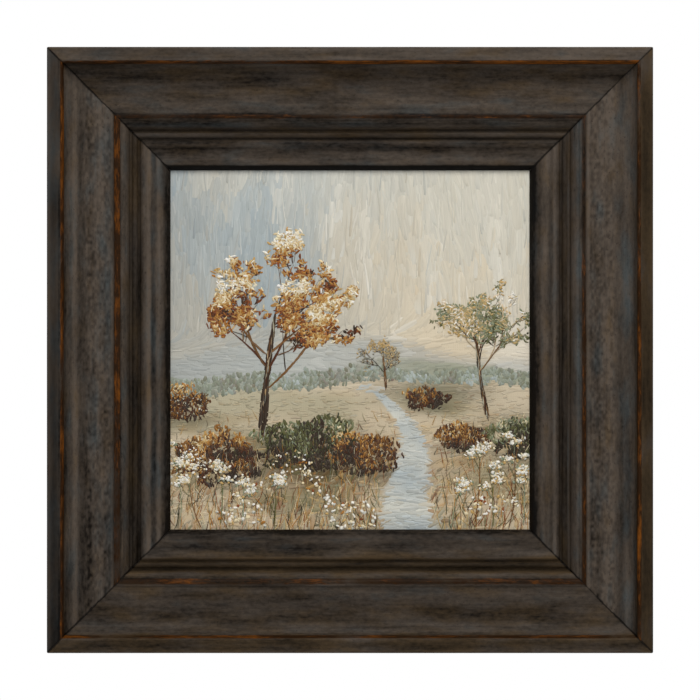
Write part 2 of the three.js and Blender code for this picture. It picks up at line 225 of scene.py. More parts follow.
# How each rail took its stain, and the painted shade and painted light laid over it. bead and arris: where
# rust shows there (first and last u, mm), and how much at the rail's first and last end. lip: where its black
# begins
# (u, mm), and how black it is, which is black paint on the lip and, most on the top rail, painted shade.
# fade:
# how much lighter towards the last end, a painted light ramp. cast: how slate. flecks: how mottled the scoop
# is.
# even: how evenly the rim took the stain. streaks and shade: middle and half width (u, mm), light or dark,
# slate or brown; stain streaks, and bands of painted shade and painted highlight, such as the dark top scoop.
railLooks = {
    "top": {
        "bead": (55.3, 59.0, 0.6, 0.45), "arris": (11.3, 14.3, 0.7, 2.0), "lip": (96.0, 1.6),
        "fade": 0.08, "cast": 0.05, "flecks": 0.03, "even": 0.1,
        "streaksAndShade": [
            (5, 6, -0.03, -0.1), (18, 2, 0.07, -0.1), (23, 7, -0.26, -0.4), (36, 6, -0.1, -0.3),
            (50, 5, -0.03, 0.0), (57.2, 3, -0.44, 0.2), (59.8, 1.3, 0.12, 0.1), (62.7, 1.4, -0.2, 0.1),
            (64, 3, -0.2, 0.5), (69.6, 1.2, -0.1, -0.4), (73, 3.7, 0.18, 0.3), (77.5, 2.4, -0.26, 0.0),
            (81.5, 4, -0.44, 0.1), (91, 5, -0.12, 0.0),
        ],
    },
    "right": {
        "bead": (54.8, 58.6, 0.32, 0.76), "arris": (9.8, 13.5, 0.6, 1.15), "lip": (91.0, 0.78),
        "fade": -0.1, "cast": 0.17, "flecks": 0.3, "even": 0.5,
        "streaksAndShade": [
            (4, 8, -0.31, -1.7), (8.5, 2.5, -0.06, 0.0), (12.5, 1.2, -0.12, -0.4), (20, 4.5, 0.2, 0.2),
            (36, 6, 0.36, -0.1), (47, 5, 0.06, 0.1), (53.5, 1.8, 0.38, -0.1), (56.8, 2, -0.25, -0.2),
            (60.1, 1.3, 0.14, 0.1), (61.4, 1.7, 0.26, 0.4), (69.8, 0.7, 0.35, 0.7), (78, 2.2, -0.26, 0.0),
            (81.2, 1.4, 0.26, 0.2), (88.6, 2.7, 0.28, -0.4), (94, 2, -0.2, -0.5),
        ],
    },
    "bottom": {
        "bead": (56.2, 61.5, 0.57, 0.43), "arris": (12.4, 15.0, 0.7, 0.85), "lip": (91.6, 0.56),
        "fade": -0.05, "cast": -0.05, "flecks": 0.03, "even": 0.0,
        "streaksAndShade": [
            (5, 7, -0.15, -0.7), (11.5, 4, -0.16, -0.4), (15.3, 1.6, -0.08, -0.2), (31, 8, -0.28, -0.6),
            (42, 5, -0.12, 0.1), (55.1, 1.6, 0.2, 0.1), (58.9, 1.7, -0.2, -0.7), (62, 1.8, -0.34, -0.5),
            (64.6, 1.8, 0.06, -0.3), (67.2, 1.3, -0.1, -0.2), (71, 5, 0.0, -0.6), (77.5, 1.6, 0.2, -0.4),
            (82, 3.5, -0.28, -0.5), (88, 3, -0.16, 0.2), (94, 2, -0.19, 0.3),
        ],
    },
    "left": {
        "bead": (55.0, 60.5, 0.58, 1.05), "arris": (11.2, 14.2, 0.88, 1.45), "lip": (91.0, 0.62),
        "fade": 0.15, "cast": 0.17, "flecks": 0.3, "even": 0.68,
        "streaksAndShade": [
            (7, 6, -0.36, 0.3), (10.4, 1.0, -0.34, 0.0), (14.5, 1.5, -0.15, -0.2), (23, 2.4, 0.42, -0.2),
            (30, 5.5, -0.18, -0.1), (43, 5, 0.19, 0.1), (50, 3, 0.08, 0.2), (53.9, 1.4, 0.18, -0.1),
            (64, 2.5, -0.1, 0.0), (67.2, 1.3, -0.09, 0.0), (78, 2.3, -0.3, -0.2), (83.7, 1.6, 0.56, -0.3),
            (87.6, 1.9, -0.18, 0.5), (91.6, 1.8, 0.34, 0.1),
        ],
    },
}
# The section, from the outer back corner round to the rabbet: each stretch is a line or a Bezier's corners.
railWidth = moulding["width"]
sectionStretches = [
    ((1.2, 0), (0, 1.2)),
    ((0, 1.2), (0, 44.6)),
    ((0, 44.6), (0, 46.4), (1.8, 47.0)),
    ((1.8, 47.0), (4.6, 48.0), (7.4, 49.4), (9.8, 50.4)),          # rim
    ((9.8, 50.4), (12.9, 51.4), (13.4, 48.4)),                     # its worn arris
    ((13.4, 48.4), (14.6, 40.6), (20.5, 35.2), (31.0, 33.6)),      # scoop
    ((31.0, 33.6), (38.0, 32.6), (47.0, 33.0), (54.2, 35.0)),
    ((54.2, 35.0), (55.2, 37.2), (59.6, 37.4), (60.9, 35.2)),      # worn bead
    ((60.9, 35.2), (63.4, 34.4), (66.2, 31.6), (67.8, 28.8)),      # bevel
    ((67.8, 28.8), (68.2, 27.2)),
    ((68.2, 27.2), (69.6, 27.4)),
    ((69.6, 27.4), (70.4, 30.0), (74.0, 30.0), (74.8, 27.4)),      # small bead
    ((74.8, 27.4), (75.1, 26.0)),
    ((75.1, 26.0), (76.2, 26.2)),
    ((76.2, 26.2), (77.4, 29.6), (80.8, 29.2), (83.0, 27.6)),      # inner torus
    ((83.0, 27.6), (85.0, 26.0), (88.2, 25.8), (90.6, 26.7)),      # hollow
    ((90.6, 26.7), (92.6, 27.5), (94.4, 27.6), (95.8, 27.1)),      # sight bead
    ((95.8, 27.1), (98.2, 26.4), (100.6, 24.0), (railWidth, 21.4)),  # lip
    ((railWidth, 21.4), (railWidth, 20.4)),
    ((railWidth, 20.4), (96.1, 20.4)),                             # rabbet
    ((96.1, 20.4), (96.1, 0)),
    ((96.1, 0), (1.2, 0)),                                         # back
]
bareFrom = 19  # the stretches from here on are bare wood


def curvePoints(corners, steps):  # a Bezier: the sum of its corners, each times its Bernstein polynomial in t
    t = (np.arange(steps) / steps)[:, None]
    n = len(corners) - 1
    return sum(comb(n, k) * (1 - t) ** (n - k) * t ** k * np.array(c, float) for k, c in enumerate(corners))


def mouldingSection():  # its points (u, h), outward normals, run along it in mm, and which are bare wood
    points, bare = [], []
    for i, corners in enumerate(sectionStretches):
        length = sum(np.hypot(b[0] - a[0], b[1] - a[1]) for a, b in zip(corners, corners[1:]))
        steps = max(2, ceil(length / moulding["coarse" if i >= bareFrom or i < 2 else "spacing"]))
        points.append(curvePoints(corners, steps))
        bare.append(np.full(steps, float(i >= bareFrom)))
    points, bare = np.concatenate(points), np.concatenate(bare)
    bare = bare * np.roll(bare, 1)  # the lip's last point is stained
    ahead, behind = np.roll(points, -1, axis=0), np.roll(points, 1, axis=0)
    tangent = (ahead - behind) / np.linalg.norm(ahead - behind, axis=1, keepdims=True)
    normal = np.stack([-tangent[:, 1], tangent[:, 0]], axis=1)
    run = np.concatenate([[0], np.cumsum(np.linalg.norm(np.diff(points, axis=0), axis=1))])
    return points, normal, run, bare


def standOut(points, normal, run):
    # How far each point stands out along its normal, in mm, from the section smoothed over 8 mm each way.
    step, reach = 0.5, 16
    even = np.arange(0, run[-1], step)
    window = np.hanning(2 * reach + 1)
    window /= window.sum()
    pairs = []
    for k in (0, 1):
        plain = np.interp(even, run, points[:, k])
        smooth = np.convolve(np.pad(plain, reach, mode="edge"), window, mode="valid")
        pairs.append(np.interp(run, even, smooth[:len(even)]))
    return ((points - np.stack(pairs, axis=1)) * normal).sum(axis=1)


def stainAndShadeOf(along, u, look, seed):  # how light the stain and the painted shade and light are, how slate (over 0) or brown (under 0), how even
    beads = bandOf(u, *moulding["hollows"]) * (0.75 + 0.25 * latticeNoise(along / 40, 0.5, seed + 6))
    tone = -0.24 * beads - 0.3 * bandOf(u, *moulding["smallBead"]) - 0.25 * bandOf(u, *moulding["mainBead"])
    # The lip's black is black paint, deepened on the top rail as painted shade.
    lip, black = look["lip"]
    tone = tone - black * smoothStep(u, lip, moulding["lipEnd"]) ** 1.4
    # Lighter or darker along the rail towards its last end: a painted light ramp.
    tone = tone + look["fade"] * along / (frameHalf / mm)
    flecks = latticeNoise(along / 2.7, u / 1.9, seed + 12)
    tone = tone + look["flecks"] * flecks * bandOf(u, *moulding["scoop"])
    cool = look["cast"] - 0.75 * beads
    even = look["even"] * bandOf(u, *moulding["rim"]) + 0.4 * bandOf(u, *moulding["evenBeads"])
    # Bands across the rail: stain streaks, and also painted shade and painted highlights, such as the darker
    # scoop of the top rail and the light line in the left rail's scoop.
    for k, (middle, half, light, slate) in enumerate(look["streaksAndShade"]):
        sway = middle + 0.12 * half * latticeNoise(along / 70, k + 0.5, seed + 7)
        strength = 0.85 + 0.6 * latticeNoise(along / 40, k + 0.5, seed + 8)
        streak = np.exp(-np.abs((u - sway) / half) ** 3) * strength
        tone, cool = tone + light * streak, cool + slate * streak
    return tone, cool, even


def rubbedThrough(along, u, h, look, seed):  # how far the finish is worn to the undercoat, 0 to 1.3
    drift = 0.5 * latticeNoise(along / 60, 0.5, seed)
    share = 0.5 + 0.5 * along / (frameHalf / mm)
    low, high, first, last = look["bead"]
    bead = bandOf(u, low + 0.7 * drift, high + 0.5 * drift, 0.8)
    strong = 0.78 + 0.25 * latticeNoise(along / 34, 3.5, seed + 1)
    strong = strong + 0.2 * latticeNoise(along / 9, 7.5, seed + 2)
    strong = strong * (first + (last - first) * share)
    low, high, first, last = look["arris"]
    arris = bandOf(u, low + drift / 2, high, 0.5)
    thin = (0.72 + 0.4 * latticeNoise(along / 25, 11.5, seed + 3)) * (first + (last - first) * share ** 2)
    outer = smoothStep(latticeNoise(along / 14, 15.5, seed + 4), 0.1, 0.6) * bandOf(u, *moulding["outerEdge"])
    return np.clip(bead * strong + arris * thin + 0.3 * outer * (h > 40), 0, 1.3)


def relief(along, run, rubbed, front, rng, seed):  # mm that the face lies below its section: waves and marks
    wave = latticeNoise(along / 48, run / 11, seed) + 0.5 * latticeNoise(along / 17, run / 5, seed + 1)
    grain = latticeNoise(along / 30, run / 1.7, seed + 2)
    down = moulding["waviness"] * (0.6 + 0.4 * wave) + moulding["grain"] * (1 + grain)
    down = down + rubbed * (0.12 + 0.16 * latticeNoise(along / 7, run / 3, seed + 3))
    outerRun, lipRun = moulding["outerRun"], moulding["lipRun"]
    marks = [(rng.uniform(*sizes), rng.uniform(*depths))
             for number, sizes, depths in moulding["marks"] for _ in range(number)]
    for size, depth in marks:
        a, b = rng.uniform(along.min(), along.max()), rng.uniform(outerRun + 1, lipRun)
        length = size * rng.uniform(1, 2.2)
        down = down + depth * np.exp(-((along - a) / length) ** 2 - ((run - b) / size) ** 2)
    return down * front * np.where(run < outerRun, 0.25, 1)


def buildRail(side, turns, finish):
    # The section carried along the rail: x goes from mitre to mitre, and both ends lie at 45 degrees.
    rng = np.random.default_rng(40 + turns)
    seed = 100 * (turns + 1)
    points, normal, run, bare = mouldingSection()
    half = frameHalf / mm
    close = np.array(moulding["mitreRows"])
    share = np.concatenate([np.linspace(-1, 1, moulding["steps"] + 1), close - 1, 1 - close])
    share = np.sort(share)[:, None]
    along = share * (half - points[None, :, 0])
    u, h = points[None, :, 0], points[None, :, 1]
    front = (1 - bare)[None, :]
    rubbed = rubbedThrough(along, u, h, railLooks[side], seed) * front
    tone, cool, even = stainAndShadeOf(along, u, railLooks[side], seed)
    fromEnd = (1 - np.abs(share)) * (half - u)
    darkLine = np.exp(-(fromEnd / moulding["mitreLine"]) ** 2)
    tone = tone - (0.5 + 0.35 * latticeNoise(u / 6, share, seed + 9)) * darkLine
    down = relief(along, run[None, :], rubbed, front, rng, seed)
    joint = np.exp(-fromEnd / moulding["mitreRound"])
    down = down * (1 - 0.7 * joint) + moulding["mitreSoftness"] * joint * front * (h > moulding["faceFrom"])
    u2 = u - down * normal[None, :, 0]
    h2 = h - down * normal[None, :, 1]
    x = share * (half - u2 - moulding["endGap"])
    z = half - u2
    angle = turns * pi / 2
    place = np.stack([x * cos(angle) + z * sin(angle), -h2, -x * sin(angle) + z * cos(angle)], axis=-1)
    place = place.reshape(-1, 3) * mm + (0, backPlane, frameMiddle)
    rows, columns = x.shape
    first = np.arange(columns)
    last = first + (rows - 1) * columns
    rail = newPiece(f"{side}Rail", place, tubeQuads(rows, columns), [first[::-1], last], finish, sharp=48)
    full, lighter = moulding["raised"]
    raised = np.clip(standOut(points, normal, run) / full, -1, 1)
    for key, values in (("rubbed", rubbed), ("bare", bare), ("tone", tone * front + lighter * raised),
                        ("cool", cool * front), ("even", even * front)):
        setNumbers(rail, key, np.broadcast_to(values, x.shape))
    pattern = np.stack([along + 700 * turns, np.broadcast_to(run, x.shape)], axis=-1)  # no two rails match
    setPlaces(rail, "railPlace", pattern.reshape(-1, 2) * mm)
    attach(rail, "root")
    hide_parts(f"rail_{side}")
    return rail


def slotCutter():  # the V-nails' outlines, a little grown, from behind the rail to past their tips
    points, quads, caps = [], [], []
    grow, thick = moulding["slotPlay"] * mm, moulding["nailStrip"] * mm
    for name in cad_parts:
        if not name.startswith("v_nail_"):
            continue
        low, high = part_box(name)
        middle = (low + high) / 2
        sx, sz = np.sign(middle.x), np.sign(middle.z - frameMiddle)
        out, size = max(abs(low.x), abs(high.x)), high.x - low.x
        outer, inner, end = out + grow, out - thick - grow, out - size - grow
        outline = [(outer, outer), (end, outer), (end, inner), (inner, inner), (inner, end), (outer, end)]
        outline = outline if sx * sz > 0 else outline[::-1]
        start = 12 * len(points)
        points.append([(sx * a, y, frameMiddle + sz * b)
                       for y in (backPlane + mm, low.y - grow) for a, b in outline])
        quads.append(tubeQuads(2, 6) + start)
        caps += [np.arange(6)[::-1] + start, np.arange(6) + 6 + start]
    return newPiece("slotCutter", np.concatenate(points), np.concatenate(quads), caps)


def cutBy(piece, cutter):  # the cutter's shape taken out of the rail for good; the slots are bare wood
    boolean = piece.modifiers.new("slots", "BOOLEAN")
    boolean.operation, boolean.solver, boolean.object = "DIFFERENCE", "MANIFOLD", cutter
    made = bpy.data.meshes.new_from_object(piece.evaluated_get(bpy.context.evaluated_depsgraph_get()))
    piece.modifiers.clear()
    piece.data = made
    place = np.zeros(3 * len(made.vertices), np.float32)
    made.vertices.foreach_get("co", place)
    x, y, z = place.reshape(-1, 3).T
    bare = np.zeros(len(x), np.float32)
    made.attributes["bare"].data.foreach_get("value", bare)
    inset, depth = moulding["slotZone"]
    clearOfSides = np.maximum(np.abs(x), np.abs(z - frameMiddle)) < frameHalf - inset * mm
    inside = clearOfSides & (y > backPlane - depth * mm)
    made.attributes["bare"].data.foreach_set("value", np.where(inside, np.float32(1), bare))


def distressedWood():
    # Dark stain and wax, brushed along the rail over a rust undercoat: matte, streaked, rubbed through on
    # raised edges and left dark in the hollows. Its tone also holds painted shade and painted light, set for
    # each rail.
    finish, tree, shader = newFinish("distressedWood", {"IOR": 1.45, "Specular IOR Level": 0.12})
    place = addNode(tree, "UVMap", uv_map="railPlace")
    rubbed, bare, tone, cool, even = (addNode(tree, "Attribute", output="Fac", attribute_name=name)
                                      for name in ("rubbed", "bare", "tone", "cool", "even"))
    clouds, tints, brushed, mottle, pores, specks, grain = drawPatterns(tree, place, [
        ((55, 12, 1), (0, 0, 0), 3, 0.55),   # clouds of stain, 50 mm long
        ((38, 14, 1), (31, 7, 3), 3, 0.55),  # patches of slate and brown, 40 mm long
        ((95, 5, 1), (5, 2, 9), 3, 0.55),    # brush streaks, 5 mm wide
        ((5, 3, 1), (1, 6, 2), 4, 0.6),      # uneven wax, 3 mm
        ((9, 1.6, 1), (3, 8, 4), 4, 0.65),   # pores, 1.6 mm
        ((2.6, 2.1, 1), (8, 8, 8), 2, 0.5),  # dark flecks, 2 mm
        ((150, 2.6, 1), (0, 0, 0), 4, 0.6),  # grain of the bare wood, 2.6 mm
    ])
    blotchy = addNode(tree, "Math", (1.0, even), operation="SUBTRACT")
    blotches = swayed(tree, 0.0, (clouds, 0.28, 0.72, -0.24, 0.24), (brushed, 0.3, 0.7, -0.12, 0.12),
                      (mottle, 0.3, 0.7, -0.17, 0.15), (pores, 0.3, 0.55, -0.1, 0.03))
    blotches = addNode(tree, "Math", (blotches, blotchy), operation="MULTIPLY")
    light = addNode(tree, "Math", (blotches, addNode(tree, "Math", (tone, 0.5))))
    plain, slate, brown = (layered(tree, dark, (light, -0.1, 1, 1, pale)) for dark, pale in
                           (("0d0804", "574e46"), ("070708", "4b4f50"), ("0e0802", "594935")))
    hue = swayed(tree, cool, (tints, 0.3, 0.7, -0.75, 0.65))
    bright = swayed(tree, pores, (tints, 0.4, 0.7, -0.12, 0.22), (rubbed, 0.3, 1.3, -0.12, 0.26))
    rust = layered(tree, "251200", (bright, 0.46, 0.9, 1, "784308"))  # brightest where it is rubbed most
    ragged = swayed(tree, rubbed, (mottle, 0.3, 0.7, -0.22, 0.16))
    flecked = addNode(tree, "MapRange", (specks, 0.62, 0.74, 0, 0.5))
    flecked = addNode(tree, "Math", (flecked, blotchy), operation="MULTIPLY")
    unstained = swayed(tree, bare, (mottle, 0.3, 0.7, -0.35, 0.2))
    pine = layered(tree, "b08c5e", (grain, 0.35, 0.65, 1, "cfb083"))
    colour = layered(tree, plain, (hue, 0.1, 1, 1, slate), (hue, -0.1, -1, 1, brown),
                     (light, -0.3, -1, 0.9, "010000"), (ragged, 0.12, 0.5, 0.95, rust),
                     (flecked, 0, 1, 1, "150f0b"), (unstained, 0.5, 0.62, 1, pine))
    height = addNode(tree, "Math", (addNode(tree, "Math", (pores, 0.6), operation="MULTIPLY"), mottle))
    bump = addNode(tree, "Bump", {"Strength": 0.5, "Distance": 0.15 * mm, "Height": height})
    roughness = addNode(tree, "MapRange", (brushed, 0.3, 0.7, 0.72, 0.55))
    setInputs(tree, shader, {"Base Color": colour, "Roughness": roughness, "Normal": bump})
    return finish


glueSheet = {
    "halfThickness": 0.152,  # mm: half the open mitre, and a hair more
    "below": 0.5,            # mm under the lowest face within reach
    "reach": 0.9,            # mm
    "step": 0.5,             # mm between the points of its front edge
    "front": (0.5, 100.9),   # where its front edge begins and ends (u, mm)
    "face": (0.2, 21.5),     # the face's points have u and h over these (mm)
    "back": [(100.6, 21.2), (95.3, 21.2), (95.3, 11.2), (0.5, 11.2)],  # clear of the V-nails (u, h, mm)
}


def darkGlue():
    # Glue squeezed into the mitres and darkened by stain: nearly black, a little shiny.
    return newFinish("darkGlue", {"Base Color": "130e0a", "Roughness": 0.5, "Specular IOR Level": 0.3})[0]


def buildGlue(finish):  # in each mitre a sheet as thick as the gap, whose front edge follows the section
    points = mouldingSection()[0][:-1]
    uLeast, hLeast = glueSheet["face"]
    face = points[(points[:, 1] > hLeast) & (points[:, 0] > uLeast)]
    u = np.arange(*glueSheet["front"], glueSheet["step"])
    h = np.interp(u, face[:, 0], face[:, 1])
    near = np.abs(u[:, None] - u[None, :]) <= glueSheet["reach"]
    h = np.where(near, h[None, :], 99).min(axis=1) - glueSheet["below"]
    outline = np.concatenate([np.stack([u, h], axis=1), glueSheet["back"]])
    n, thick = len(outline), glueSheet["halfThickness"] / 2 ** 0.5
    along = frameHalf / mm - outline[:, 0]
    place, quads, caps = [], [], []
    for k, (sx, sz) in enumerate(((1, 1), (1, -1), (-1, -1), (-1, 1))):
        for way in (-thick, thick):
            place.append(np.stack([sx * (along + way), -outline[:, 1], sz * (along - way)], axis=1))
        flip = 1 if sx * sz > 0 else -1
        quads.append((tubeQuads(2, n) + 2 * k * n)[:, ::flip])
        caps += [(np.arange(n)[::-1] + 2 * k * n)[::flip], (np.arange(n) + (2 * k + 1) * n)[::flip]]
    place = np.concatenate(place) * mm + (0, backPlane, frameMiddle)
    glue = newPiece("mitreGlue", place, np.concatenate(quads), caps, finish)
    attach(glue, "root")


woodFinish = distressedWood()
cutter = slotCutter()
for turns, side in enumerate(railLooks):
    cutBy(buildRail(side, turns, woodFinish), cutter)
bpy.data.objects.remove(cutter)
buildGlue(darkGlue())
print("moulding: 4 rails")

# The cloth is stretched over the bars, folded at the corners and turned over behind.
cloth = {
    "edgeRadius": 2.2,   # mm, where it bends over the bar's front edge
    "backRadius": 1.0,
    "turnover": 24.0,
    "rings": 60,         # over the face
    "around": 100,       # points along each side
    "thickness": 0.5,
    "dish": 0.35,        # mm that the face sags in the middle
    "frayed": 0.35,      # mm that its cut edge wavers
    "threads": 1.5,      # mm from thread to thread, as drawn
    "flapInset": 0.5,    # mm from the corner to its flap
    "flapShort": 1.5,    # mm by which the flap is shorter than the turnover
    # The flap from the middle of its underside to that of its back: share of its outline, and rise in mm.
    "flap": [(0.02, 0.1), (0.97, 0.1), (1.0, 0.35), (0.985, 0.62), (0.9, 0.72), (0.02, 0.6)],
}


def clothSection():  # from the middle of the face outwards, round the side and in again: (reach, depth) in mm
    half, deep = canvasHalf / mm, canvasDepth / mm
    r, r2 = cloth["edgeRadius"], cloth["backRadius"]
    turn = np.linspace(0, pi / 2, 6)
    face = np.linspace(0.4, half - r, cloth["rings"])
    side = np.linspace(r, deep - r2, 6)[1:-1]
    fold = np.linspace(half - r2, half - cloth["turnover"], 12)[1:]
    reach = np.concatenate([face, half - r + r * np.sin(turn[1:]), np.full(4, half),
                            half - r2 + r2 * np.cos(turn), fold])
    depth = np.concatenate([np.zeros(len(face)), r - r * np.cos(turn[1:]), side,
                            deep - r2 + r2 * np.sin(turn), np.full(len(fold), deep)])
    dish = cloth["dish"] * np.cos(np.clip(reach / (half - r), 0, 1) * pi / 2) ** 2
    depth[:len(face)] += dish[:len(face)]
    return reach, depth


def buildCloth(finish, backFinish, colourAt):
    # Square rings with slightly rounded corners: ring by ring along the section, and round each ring.
    reach, depth = clothSection()
    n = cloth["around"]
    run = np.linspace(-1, 1, n, endpoint=False)
    sides = [(run, np.ones(n)), (np.ones(n), -run), (-run, -np.ones(n)), (-np.ones(n), run)]
    ringX, ringZ = (np.concatenate(part) for part in zip(*sides))
    soften = 1 - 0.004 * smoothStep(np.minimum(np.abs(ringX), np.abs(ringZ)), 0.985, 1)
    frayed = cloth["frayed"] * latticeNoise(np.arange(4 * n) / 3, 0.5, 5)
    x = reach[:, None] * (ringX * soften)[None, :]
    z = reach[:, None] * (ringZ * soften)[None, :]
    x[-1] += frayed * (np.abs(ringX) == 1) * np.sign(ringX)
    z[-1] += frayed * (np.abs(ringZ) == 1) * np.sign(ringZ)
    y = np.broadcast_to(depth[:, None], x.shape) * mm + canvasLow.y
    place = np.stack([x * mm, y, z * mm + canvasMiddle], axis=-1).reshape(-1, 3)
    rows, columns = x.shape
    piece = newPiece("stretchedCloth", place, tubeQuads(rows, columns), [np.arange(columns)[::-1]], finish,
                     sharp=60)
    painted = 1 - smoothStep(np.arange(rows), cloth["rings"] + 4, cloth["rings"] + 7)[:, None]
    setNumbers(piece, "painted", np.broadcast_to(painted, x.shape))
    setColours(piece, "paint", colourAt(place[:, 0], place[:, 2]))
    thick = piece.modifiers.new("thickness", "SOLIDIFY")
    thick.thickness = cloth["thickness"] * mm
    thick.offset = -1
    piece.data.materials.append(backFinish)
    thick.material_offset = 1
    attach(piece, "root")
    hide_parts("canvas")


def buildFolds(finish):
    # At each corner behind, the pleat's flap: a three-cornered pad of folded cloth. Rings go round its
    # outline, from the middle of its underside over its rounded edge to the middle of its back.
    corner, reach = canvasHalf / mm - cloth["flapInset"], cloth["turnover"] - cloth["flapShort"]
    ends = np.array([(corner, corner), (corner, corner - reach), (corner - reach, corner - reach)])
    t = (np.arange(20) / 20)[:, None]
    outline = np.concatenate([a + (b - a) * t for a, b in zip(ends, np.roll(ends, -1, axis=0))])
    middle = outline.mean(axis=0)
    scale, rise = (np.array(part)[:, None] for part in zip(*cloth["flap"]))
    a = middle[0] + (outline[None, :, 0] - middle[0]) * scale
    b = middle[1] + (outline[None, :, 1] - middle[1]) * scale
    places, quads, caps = [], [], []
    rows, columns = a.shape
    first = np.arange(columns)
    for k, (sx, sz) in enumerate(((1, 1), (1, -1), (-1, -1), (-1, 1))):
        h = np.broadcast_to(rise * (1 + 0.2 * latticeNoise(a / 6, b / 6, k)), a.shape)
        place = np.stack([sx * a * mm, canvasHigh.y + h * mm, canvasMiddle + sz * b * mm], axis=-1)
        places.append(place.reshape(-1, 3))
        flip = 1 if sx * sz > 0 else -1
        start = k * rows * columns
        quads.append((tubeQuads(rows, columns) + start)[:, ::flip])
        caps += [(first[::-1] + start)[::flip], (first + start + (rows - 1) * columns)[::flip]]
    folds = newPiece("foldedCorners", np.concatenate(places), np.concatenate(quads), caps, finish, sharp=60)
    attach(folds, "root")


def wovenCanvas(name, isFront):
    # Woven cotton, painted or primed in front and bare behind: a fine even weave. Threads are about 0.5 mm
    # apart, and the weave is drawn three times as coarse so that it shows.
    finish, tree, shader = newFinish(name, {"Roughness": 0.8, "IOR": 1.45, "Specular IOR Level": 0.25})
    place = addNode(tree, "TexCoord", output="Object")
    painted = addNode(tree, "Attribute", output="Fac", attribute_name="painted")
    paint = addNode(tree, "Attribute", output="Color", attribute_name="paint")
    bands = 0.314 / (cloth["threads"] * mm)  # at a scale of 1 the bands are 0.314 m apart
    threads = [addNode(tree, "TexWave", {"Vector": place, "Scale": bands, "Distortion": 0.4}, "Fac",
                       bands_direction=way) for way in "XZ"]
    weave = addNode(tree, "Math", threads, operation="MULTIPLY")
    slub = drawPatterns(tree, place, [((26, 26, 3), (0, 0, 0), 4, 0.6)])[0]  # thicker threads
    # Between the threads the weave is painted darker, as painted shade, and on their crowns lighter, as a
    # painted highlight.
    colour = layered(tree, "9c8f78", (weave, 0, 0.8, 1, "d6ccb8"), (slub, 0.35, 0.7, 0.4, "b7aa92"))
    if isFront:
        edge = swayed(tree, painted, (slub, 0.3, 0.7, -0.4, 0.4))
        colour = layered(tree, colour, (edge, 0.45, 0.55, 1, paint))
    bump = addNode(tree, "Bump", {"Strength": 0.6, "Distance": 0.15 * mm, "Height": weave})
    setInputs(tree, shader, {"Base Color": colour, "Normal": bump})
    return finish


# The painting is a hazy autumn meadow with trees, in brush strokes of real thickness. Its x and z go from -1
# to 1 across the sight opening. Strokes are drawn in a fixed order from one source of random numbers.
palette = {name: np.array(fromHex(code)[:3]) for name, code in {
    "mist": "95a4ad", "haze": "b0babd", "pearl": "cfd0c8", "cream": "dccfb6", "linen": "cbbfa8",
    "tan": "ab987a", "straw": "c6a568", "ochre": "ad752c", "rust": "84441a", "deepRust": "4f2810",
    "bark": "33261b", "bronze": "6a4a26", "olive": "65653a", "sage": "8a947c", "deepOlive": "33361e",
    "milk": "f6f3ea", "butter": "e8dab6", "slate": "6c7a85", "smoke": "98998c",
}.items()}
scenery = {
    # foot: where it stands. lean in radians, tall and trunk in mm, limbs: how many at each level.
    "trees": [
        {"foot": (-0.5, -0.5), "lean": 1.46, "tall": 112, "trunk": 9.0, "limbs": (9, 5, 4, 3), "leaves": 3600,
         "size": 1.2, "colours": ["bark", "deepRust", "rust", "ochre", "straw", "butter", "milk"]},
        {"foot": (0.2, -0.2), "lean": 1.66, "tall": 26, "trunk": 2.2, "limbs": (6, 4, 3), "leaves": 300,
         "size": 0.7, "colours": ["bronze", "smoke", "straw", "linen"]},
        {"foot": (0.76, -0.38), "lean": 1.7, "tall": 76, "trunk": 5.2, "limbs": (8, 5, 4), "leaves": 1600,
         "size": 1.0, "colours": ["deepOlive", "olive", "sage", "straw", "milk"]},
    ],
    # For each level of limbs: how they spread (radians), their length and width next to their parent's, and
    # from where along it they grow.
    "limbs": [(1.05, 0.62, 0.42, 0.36), (0.95, 0.6, 0.5, 0.25), (0.9, 0.55, 0.6, 0.25),
              (0.8, 0.55, 0.7, 0.3)],
    # Middle and half size of each bush.
    "bushes": [(-0.95, -0.3, 0.16, 0.11), (0.42, -0.27, 0.13, 0.06), (0.97, -0.5, 0.2, 0.12),
               (-0.24, -0.52, 0.3, 0.15), (-0.72, -0.6, 0.26, 0.14), (0.62, -0.48, 0.15, 0.08),
               (0.08, -0.58, 0.2, 0.12)],
    # A bush's layers, from the back: share of its strokes, reach, how much lighter, and size of stroke.
    "bushLayers": [(0.35, 0.9, -0.3, 1.6), (1.0, 1.0, 0.0, 0.95), (0.45, 0.95, 0.25, 0.75)],
    # Foot of each umbel, and its height in mm.
    "umbels": [(-0.93, -0.98, 60), (-0.84, -1.0, 44), (-0.72, -1.02, 52), (-0.6, -0.98, 34),
               (-0.42, -1.0, 40), (0.56, -1.0, 38), (0.7, -0.98, 58), (0.8, -1.02, 46), (0.9, -1.0, 66),
               (0.97, -0.98, 42)],
}
sightHalf = frameHalf - railWidth * mm
dice = np.random.default_rng(7)


def mixed(first, second, share):  # two colours, or a colour for each place, blended by an array of shares
    first = palette[first] if isinstance(first, str) else first
    second = palette[second] if isinstance(second, str) else second
    return first + (second - first) * np.clip(share, 0, 1)[:, None]


def horizonAt(x):  # the height of the far meadow's edge
    return -0.2 + 0.04 * np.sin(2.6 * x + 0.7) + 0.01 * np.sin(9 * x)


def nearness(x, z):  # how near the meadow is there: 0 at the horizon, 1 at the bottom
    return np.clip((horizonAt(x) - z) / 0.8, 0, 1)


